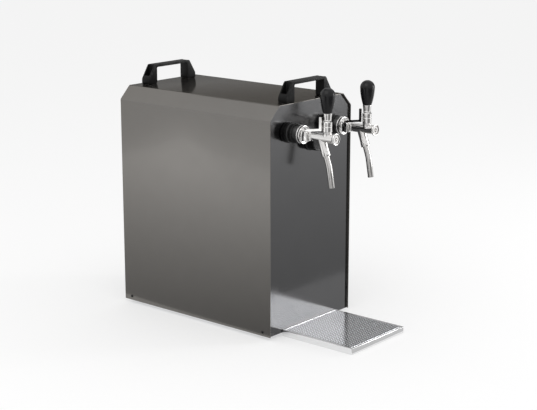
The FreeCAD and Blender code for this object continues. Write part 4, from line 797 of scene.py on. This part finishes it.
tap = dict(
    spacing=132.0, height=427.5, panelFace=-130.5, rear=33.0, flange=13.4, barrel=9.2, groove=61.5, nose=12.0,
    barrelEnd=118.5, bore=5.5, boss=11.5, bossPlace=49.5, bossReach=10.0, tower=9.5, lever=95.5, pivot=24.0,
    shaft=7.9, dome=13.0, sleeve=9.1, sleeveLean=19.5, sleevePlace=80.5, sleeveDrop=37.0, socketDepth=6.0,
    stemWay=(3.6, 11.5, -2.0, 8.2), stemThroat=(3.2, 8.5, 8.0, 10.6))
lever = dict(stem=2.4, ball=6.0, foot=7.9, top=50.45, forward=21.5, back=11.5, wayWidth=2.9, wayHeight=14.0,
             wayRoom=3.3)
knob = dict(base=50.5, foot=9.25, belly=15.2, bellyRise=36.0, rise=50.5, flank=131.3)
coupling = [
    (11.2, 0.0), (21.5, 0.0), (21.5, 7.1), (19.6, 9.0), (18.0, 9.0), (18.0, 12.0), (20.5, 12.0), (20.4, 17.0),
    (19.7, 17.4), (19.7, 18.4), (20.0, 18.8), (18.0, 28.0), (11.2, 28.0)]
collar = [
    (11.2, 28.0), (18.5, 28.0), (18.5, 31.2), (17.9, 31.6), (17.9, 32.4), (18.5, 32.8), (18.5, 38.0),
    (17.1, 38.0), (16.4, 35.2), (13.6, 35.0), (13.6, 33.0), (11.2, 33.0)]
flow = dict(
    arm=4.4, reach=40.5, tab=5.8, rootTop=15.0, armTop=19.5, tipTop=43.0, eye=8.0, hole=3.1, gap=0.3,
    plate=2.2, edge=0.35)
cap = dict(wide=12.0, tall=20.5, thick=3.2, corner=1.8, edge=0.7)
spout = dict(
    radius=6.1, bore=4.8, bendDrop=57.0, bend=90.0, bendSteps=8, tipDrop=99.5, tipLean=9.5, socket=16.0,
    sides=40)


# (across, forward, up) as (x, y, z)
def towards(*place):
    return (place[0], -place[1], place[2])


# turned piece set forward of the panel, upright or leaning down and forward
def standing(profile, forward, axis="up", sides=48, lean=None, loop=False):
    turn = None if lean is None else Matrix.Rotation(radians(180 - lean), 4, "X")
    return moved(lathe(profile, axis, sides, loop), towards(0, forward, 0), turn)


def tapBodyMesh():
    end, barrel, nose, pivot, place = tap["barrelEnd"], tap["barrel"], tap["nose"], tap["pivot"], tap["lever"]
    rear, flange, groove, lean = tap["rear"], tap["flange"], tap["groove"], tap["sleeveLean"]
    profile = [(0.0, rear), (flange, rear), (flange, rear + 2.0)]
    profile += arcPoints((flange, rear + 2.0), (barrel, rear + 9.0), -6.0, 6)
    profile += [
        (barrel, groove), (barrel - 0.35, groove + 0.4), (barrel - 0.35, groove + 1.1),
        (barrel, groove + 1.5), (barrel, end - 7.5)]
    profile += arcPoints((barrel, end - 7.5), (nose, end - 2.2), -6.0, 5)
    profile += [
        (nose, end - 0.7), (nose - 0.25, end - 0.2), (nose - 0.8, end), (nose - 1.6, end),
        (nose - 1.9, end - 0.15), (nose - 2.3, end - 3.0), (nose - 3.6, end - 3.1), (nose - 3.7, end - 1.3),
        (nose - 4.1, end - 0.9), (4.2, end - 0.9), (3.9, end - 1.2), (3.4, end - 4.0), (0.0, end - 4.1)]
    shape = lathe(profile, "forward", 64)
    boss = standing(softened(rod(tap["boss"], 0.0, tap["bossReach"]), 0.5), tap["bossPlace"], "left")
    neck = tap["tower"] - 0.5
    tower = standing([
        (0.0, 0.0), (neck, 0.0), (neck, 13.0), (neck + 0.25, 13.4), (tap["tower"], 13.6),
        (tap["tower"], pivot - 1.2), (neck + 0.2, pivot - 0.9), (neck, pivot - 0.5), (neck, pivot),
        (0.0, pivot)], place)
    long = tap["sleeveDrop"] / cos(radians(lean))
    reach = tap["sleeve"]
    sleeve = standing([
        (0.0, 0.0), (reach - 0.4, 0.0), (reach - 0.4, long - 9.5), (reach, long - 9.0), (reach, long - 0.8),
        (reach - 0.25, long - 0.25), (reach - 0.8, long), (0.0, long)], tap["sleevePlace"], lean=lean)
    bore = lathe(rod(tap["bore"], rear - 3.0, end - 9.5), "forward", 40)
    shaft = standing(rod(tap["shaft"], -2.0, 30.0), place, sides=40)
    stemWays = [boxMesh((-wide, -place - reach, low), (wide, -place + reach, high))
                for wide, reach, low, high in (tap["stemWay"], tap["stemThroat"])]
    socket = standing(rod(spout["radius"] + 0.05, long - tap["socketDepth"], long + 3.0), tap["sleevePlace"],
                      sides=40, lean=lean)
    return cutOut(weld(shape, boss, tower, sleeve), bore, shaft, *stemWays, socket)


def bonnetMesh():
    pivot, dome, radius, mouth = tap["pivot"], tap["dome"], tap["tower"], 3.2
    shoulder = pivot + sqrt(dome ** 2 - radius ** 2)
    outer = [
        (radius - 0.5, pivot), (radius, pivot + 0.6), (radius, pivot + 3.0), (radius - 0.35, pivot + 3.3),
        (radius - 0.35, pivot + 3.9), (radius, pivot + 4.2), (radius, shoulder - 0.3)]
    outer += arcPoints((radius - 0.1, shoulder), (mouth, pivot + sqrt(dome ** 2 - mouth ** 2)), dome, 6)
    inner = [(mouth, pivot + 10.5), (6.6, pivot + 8.0), (7.2, pivot + 5.0), (7.2, pivot)]
    shape = standing(outer + inner, tap["lever"], sides=56, loop=True)
    front, back = (tan(radians(lever[way])) * lever["wayHeight"] + lever["wayRoom"]
                   for way in ("forward", "back"))
    wide, place = lever["wayWidth"], tap["lever"]
    leverWay = boxMesh((-wide, -front - place, pivot + 7.5), (wide, back - place, pivot + 15))
    return cutOut(shape, leverWay)


# the ferrule's hollow foot rides on the dome
def leverMesh():
    pivot, hollow = tap["pivot"], tap["dome"] + 0.3
    foot, stem, ball = lever["foot"], lever["stem"], lever["ball"]
    footHeight = pivot + sqrt(hollow ** 2 - foot ** 2)
    profile = [
        (0.0, pivot - 25.6), (stem - 0.6, pivot - 25.0), (stem + 0.5, pivot - 23.4),
        (stem + 0.5, pivot - 22.0), (stem, pivot - 20.6), (stem, pivot - 5.6), (ball - 1.2, pivot - 3.8),
        (ball, pivot), (ball - 1.2, pivot + 3.8), (stem, pivot + 5.6)]
    profile.append((stem, pivot + sqrt(hollow ** 2 - stem ** 2)))
    profile += arcPoints(profile[-1], (foot - 0.4, footHeight + 0.05), hollow, 4)
    profile += [
        (foot, footHeight + 0.5), (8.2, footHeight + 2.0), (7.8, footHeight + 2.6), (7.9, footHeight + 3.4),
        (8.6, 45.5), (9.1, 49.4), (9.0, 50.1), (8.6, lever["top"]), (0.0, lever["top"])]
    return standing(profile, tap["lever"], sides=56)


# turned knob: slim foot, full belly, round crown
def knobMesh():
    base, belly, bellyHeight = knob["base"], knob["belly"], knob["base"] + knob["bellyRise"]
    crownRise = knob["rise"] - knob["bellyRise"]
    crownRadius = (belly ** 2 + crownRise ** 2) / (2 * crownRise)
    profile = [(0.0, base), (8.7, base), (9.1, base + 0.4)]
    profile += arcPoints((knob["foot"], base + 0.9), (belly, bellyHeight), knob["flank"], 12)
    profile += arcPoints((belly, bellyHeight), (0.0, base + knob["rise"]), crownRadius, 14)
    return standing(profile, tap["lever"], sides=64)


# ring round the tap's axis, turned from its closed section
def ringMesh(section, corner):
    return lathe(softened(section, corner, loop=True), "forward", 64, loop=True)


def flowLeverMesh():
    place, arm, tip = tap["bossPlace"], flow["arm"], tap["bossPlace"] + flow["reach"]
    rootTop, armTop, tipTop, tab = flow["rootTop"], flow["armTop"], flow["tipTop"], tip - flow["tab"]
    outline = [
        (place + arm, 0.0), (place + arm, rootTop - arm), (tab, armTop - arm), (tip, armTop - arm),
        (tip, tipTop), (tab, tipTop), (tab, armTop), (place + arm, rootTop), (place - arm, rootTop - arm),
        (place - arm, 0.0)]
    low = tap["bossReach"] + flow["gap"]
    high = low + flow["plate"]
    plate = prism(softened(outline, 1.6, 3, loop=True), lambda u, v, along: (-along, -u, v), low, high)
    eye = standing(rod(flow["eye"], low, high), place, "left")
    hole = standing(rod(flow["hole"], low - 1, low + 4), place, "left", 24)
    return softEdges(cutOut(weld(plate, eye), hole), flow["edge"], 2, 50.0)


def sideCapMesh():
    low = tap["bossReach"] + 2 * flow["gap"] + flow["plate"]
    halfWide, halfTall = cap["wide"] / 2, cap["tall"] / 2
    outline = softened(rectangle((-halfWide, -halfTall), (halfWide, halfTall)), cap["corner"], 3, loop=True)
    block = prism(outline, lambda u, v, along: (-along, -tap["bossPlace"] - u, v), low, low + cap["thick"])
    return softEdges(block, cap["edge"], 3, 40.0)


# bent tube with its wall, open at both ends; its path is (forward, up)
def spoutMesh():
    lean, tipLean, sides = radians(tap["sleeveLean"]), radians(spout["tipLean"]), spout["sides"]
    top = tap["sleeveDrop"] - spout["socket"] * cos(lean)
    corner = Vector((tap["sleevePlace"] + spout["bendDrop"] * tan(lean), -spout["bendDrop"]))
    start = Vector((tap["sleevePlace"] + top * tan(lean), -top))
    below = spout["tipDrop"] - spout["bendDrop"]
    tip = corner + Vector((below * tan(tipLean), -below))
    setback = spout["bend"] * tan((lean - tipLean) / 2)
    wayIn, wayOut = (corner - start).normalized(), (tip - corner).normalized()
    bendStart, bendEnd = corner - wayIn * setback, corner + wayOut * setback
    path = [start, bendStart]
    for step in range(1, spout["bendSteps"]):
        share = step / spout["bendSteps"]
        path.append(bendStart * (1 - share) ** 2 + corner * 2 * share * (1 - share) + bendEnd * share ** 2)
    path += [bendEnd, tip]

    def ring(spot, way, radius):
        points = []
        for side in range(sides):
            angle = 2 * pi * side / sides
            across = Vector((way.y, -way.x)) * radius * sin(angle)
            points.append(towards(radius * cos(angle), spot.x + across.x, spot.y + across.y))
        return points

    ways = [(after - before).normalized() for before, after in zip([start] + path, path[1:] + [tip])][:-1]
    outer, bore = spout["radius"], spout["bore"]
    lip = [
        (-0.5, outer), (-0.12, outer - 0.15), (0.0, outer - 0.5), (0.0, bore + 0.4), (-0.12, bore + 0.1),
        (-0.5, bore)]
    rings = [ring(spot, way, outer) for spot, way in zip(path, ways)]
    rings += [ring(tip + wayOut * back, wayOut, radius) for back, radius in lip]
    rings += [ring(spot, way, bore) for spot, way in reversed(list(zip(path, ways)))]
    return ringStack(rings, loop=True)


# CAD node of each side: mesh, finish, and its moving body where it has one
tapShapes = {
    "tap_body": (tapBodyMesh(), "tap_chrome", None),
    "bonnet": (bonnetMesh(), "tap_chrome", None),
    "lever": (leverMesh(), "tap_chrome", "lever"),
    "knob": (knobMesh(), "knob_plastic", "lever"),
    "coupling": (ringMesh(coupling, 0.6), "couplingPlastic", None),
    "collar": (ringMesh(collar, 0.4), "tap_chrome", None),
    "flow_lever": (flowLeverMesh(), "tap_chrome", "flow_lever"),
    "side_cap": (sideCapMesh(), "tap_chrome", None),
    "spout": (spoutMesh(), "spoutSteel", None),
}


def makeTaps():
    for word, (mesh, finish, body) in tapShapes.items():
        for side, sign in (("left", -1), ("right", 1)):
            node = f"{side}_{word}"
            placed = moved(mesh, (sign * tap["spacing"] / 2, tap["panelFace"], tap["height"]))
            rides = f"{side}_{body}" if body else "cooler"
            addPiece(camel(node), placed, finish, rides, [node])


makeTaps()
print("taps made")

dial = dict(
    height=400.5, skirt=19.4, grip=18.1, depth=24.0, flutes=24, fluteDepth=0.028, fluteStart=6.0,
    fluteEnd=20.5, pointer=1.2)


# fluted control knob with a pointer ridge
def makeDial():
    skirt, grip, depth, pointer = dial["skirt"], dial["grip"], dial["depth"], dial["pointer"]

    def flutes(angle, radius, along):
        if not dial["fluteStart"] <= along <= dial["fluteEnd"] or radius < grip - 0.2:
            return 1.0
        return 1.0 - dial["fluteDepth"] * (0.5 + 0.5 * cos(dial["flutes"] * angle)) ** 3

    deep = depth - 1.0
    profile = [
        (0.0, 0.35), (skirt - 0.5, 0.35), (skirt, 0.9), (skirt, 2.6), (skirt - 0.5, 3.2), (grip + 0.2, 4.3),
        (grip, 4.9), (grip, 6.4), (grip, deep - 3.0), (grip, deep - 2.0), (grip - 0.4, deep - 0.9),
        (grip - 1.5, deep), (grip - 4.0, deep - 0.25), (0.0, deep - 0.4)]
    body = lathe(profile, "forward", 144, ripple=flutes)
    outline = softened(rectangle((-pointer, 4.0), (pointer, grip - 1.0)), 0.8, 3, loop=True)
    ridge = prism(outline, lambda u, v, along: (u, -along, v), deep - 1.5, depth)
    whole = gathered(body, softEdges(ridge, 0.3, 2, 40.0))
    addPiece("thermostatDial", moved(whole, (0, tap["panelFace"], dial["height"])), "knob_plastic",
             "thermostat_dial", ["thermostat_knob"])


makeDial()

# rear: louvres over the vent slots

louvre = dict(
    length=74.0, tall=8.0, proud=3.2, wall=0.8, rows=14, pitch=11.0, spread=88.0, lowest=36.0, slot=3.6,
    drop=2.0, bed=0.02)


# pressed hood, open below
def louvreShape():
    half, tall, proud = louvre["length"] / 2, louvre["tall"], louvre["proud"]
    curve = [(0.0, tall)] + arcPoints((0.0, tall), (proud, 0.0), -tall * 1.15, 6)
    rings = []
    slope = [(-half, 0.02), (-half + 1.2, 0.55), (-half + 3.2, 1.0)]  # place, share of the full rise
    for x, share in slope + [(-x, share) for x, share in reversed(slope)]:
        outside = [(x, y * share, z) for y, z in curve]
        inside = [(x, max(y * share - louvre["wall"], 0.0), z - 0.3) for y, z in reversed(curve)]
        rings.append(outside + inside)
    return ringStack(rings)


def makeLouvres():
    low, high = boxOf("rear_panel")
    rows, pitch = louvre["rows"], louvre["pitch"]
    middle = low.z + louvre["lowest"] + louvre["slot"] / 2 + (rows - 1) * pitch / 2 - louvre["drop"]
    mesh = grow(louvreShape(), "grid", {
        "Columns": 2, "Rows": rows, "Column Pitch": louvre["spread"], "Row Pitch": pitch,
        "Turn": (pi / 2, 0.0, 0.0), "Centre": (0.0, high.y - louvre["bed"], middle), "Weld": 0.0001,
        "Material": finishes["cover_paint"]})
    addPiece("rearLouvres", mesh, "cover_paint", "cooler", [])


makeLouvres()
print("rear made")

# CAD pieces that stay, in their finishes

for label, item in frame["nodes"].items():
    item.data.materials.clear()
    item.data.materials.append(finishes[nodeSlots[label]])
print("carried pieces finished")

# studio in metres: white floor and surroundings, two soft lamps, glowing cards that only mirrors see, which
# are painted reflections

studio = dict(
    floorReach=60.0, floorHeight=-0.0004, floorColour=0.58, floorLift=0.45, worldLight=0.78, cardSteps=16)
lamps = {
    "frontLamp": dict(place=(1.75, -1.60, 0.62), size=(0.55, 0.9), power=11.5, aim=(0.0, -0.15, 0.2)),
    "skyLamp": dict(place=(-1.5, -0.4, 2.3), size=(2.0, 2.0), power=13.0, aim=(0.0, 0.0, 0.3)),
}
white = (1.0, 1.0, 1.0, 1.0)


def upright(first, second, low, high):
    return [(*first, low), (*second, low), (*second, high), (*first, high)]


def flat(height, *corners):
    return [(*corner, height) for corner in corners]


# corner points and the grey at each, where 1 is white; each card glows its grey for mirrors only and lights
# nothing, so it is a painted reflection
cards = {
    # behindCard and sideCard: painted dark surroundings, seen only in the glossy faces
    "behindCard": (upright((3.9, 0.7), (0.6, 3.2), 0.15, 2.2), (0.30,) * 4),
    "sideCard": (upright((2.6, -1.1), (3.2, 0.5), 0.25, 1.9), (0.14,) * 4),
    # painted reflection of the floor beside the left side: dark next to the casing, where its shade falls,
    # and brighter than white further out, so the side's reflection darkens towards the bottom
    "lowCard": (flat(0.001, (-0.16, -0.35), (-0.16, 2.0), (-2.0, 2.0), (-2.0, -0.35)),
                (0.25, 0.95, 1.8, 1.2)),
    # painted reflection of the floor before the front panel: darker next to the casing, where its shade
    # falls, and brighter than white far off as painted light
    "frontCard": (flat(0.001, (-1.6, -0.316), (2.2, -0.316), (2.2, -2.2), (-1.6, -2.2)),
                  (0.55, 0.70, 1.4, 1.3)),
    # overCard, rightCard and leftCard: painted dark reflections that give the chrome and glossy faces their
    # dark parts
    "overCard": (flat(2.0, (-0.25, 0.5), (-0.25, 1.5), (0.5, 1.5), (0.5, 0.5)), (0.12,) * 4),
    "rightCard": (upright((0.40, -1.10), (-0.69, -0.99), 0.03, 0.42), (0.16, 0.34, 0.34, 0.16)),
    "leftCard": (upright((-1.06, -0.11), (-1.03, -0.44), 0.03, 0.42), (0.05,) * 4),
}


def makeLamp(name, look):
    lamp = bpy.data.lights.new(name, "AREA")
    lamp.shape = "RECTANGLE"
    lamp.size, lamp.size_y = look["size"]
    lamp.energy = look["power"]
    item = newObject(name, lamp)
    item.location = look["place"]
    item.rotation_euler = (Vector(look["aim"]) - Vector(look["place"])).to_track_quat("-Z", "Y").to_euler()
    item.visible_camera = False


# 1 for rays that should see plain white: from the camera, in mirrors and through glass
def seenDirectly(tree):
    path = addNode(tree, "ShaderNodeLightPath").outputs
    straight = number(tree, "MAXIMUM", path["Is Camera Ray"], path["Is Glossy Ray"])
    return number(tree, "MAXIMUM", straight, path["Is Transmission Ray"])


def lit(strength):
    return {"Specular IOR Level": 0.0, "Emission Color": white, "Emission Strength": strength}


def makeFloor():
    reach = studio["floorReach"]
    corners = flat(studio["floorHeight"], (-reach, -reach), (reach, -reach), (reach, reach), (-reach, reach))
    floor = newObject("studioFloor", newMesh("studioFloor", corners, [(0, 1, 2, 3)]))
    material, tree = newMaterial("floorWhite")
    lift = number(tree, "MULTIPLY", seenDirectly(tree), studio["floorLift"])
    setShader(tree, {"Base Color": (*[studio["floorColour"]] * 3, 1.0), "Roughness": 0.9, **lit(lift)})
    floor.data.materials.append(material)


# a fine grid, so that the greys blend smoothly between the corners
def makeCard(name, corners, greys):
    steps, points, values, faces = studio["cardSteps"], [], [], []
    corners = [Vector(corner) for corner in corners]
    for row in range(steps + 1):
        for column in range(steps + 1):
            u, v = column / steps, row / steps
            weights = ((1 - u) * (1 - v), u * (1 - v), u * v, (1 - u) * v)
            points.append(sum((weight * corner for weight, corner in zip(weights, corners)), Vector()))
            values.append(sum(weight * grey for weight, grey in zip(weights, greys)))
            if row and column:
                here = row * (steps + 1) + column
                faces.append((here, here - 1, here - steps - 2, here - steps - 1))
    card = newObject(name, newMesh(name, points, faces))
    card.data.attributes.new("shade", "FLOAT", "POINT").data.foreach_set("value", values)
    material, tree = newMaterial(name)
    shade = addNode(tree, "ShaderNodeAttribute", attribute_name="shade").outputs["Fac"]
    setShader(tree, {"Base Color": (0.0, 0.0, 0.0, 1.0), **lit(shade)})
    card.data.materials.append(material)
    card.visible_camera = card.visible_diffuse = card.visible_shadow = False


def makeWorld():
    world = bpy.data.worlds.new("studioWorld")
    world.use_nodes = True
    tree = world.node_tree
    strength = spread(tree, seenDirectly(tree), 0.0, 1.0, studio["worldLight"], 1.0)
    for label, value in (("Color", white), ("Strength", strength)):
        feed(tree, tree.nodes["Background"].inputs[label], value)
    scene.world = world


makeFloor()
for cardName, (corners, greys) in cards.items():
    makeCard(cardName, corners, greys)
makeWorld()
for lampName, look in lamps.items():
    makeLamp(lampName, look)
print("studio lit")
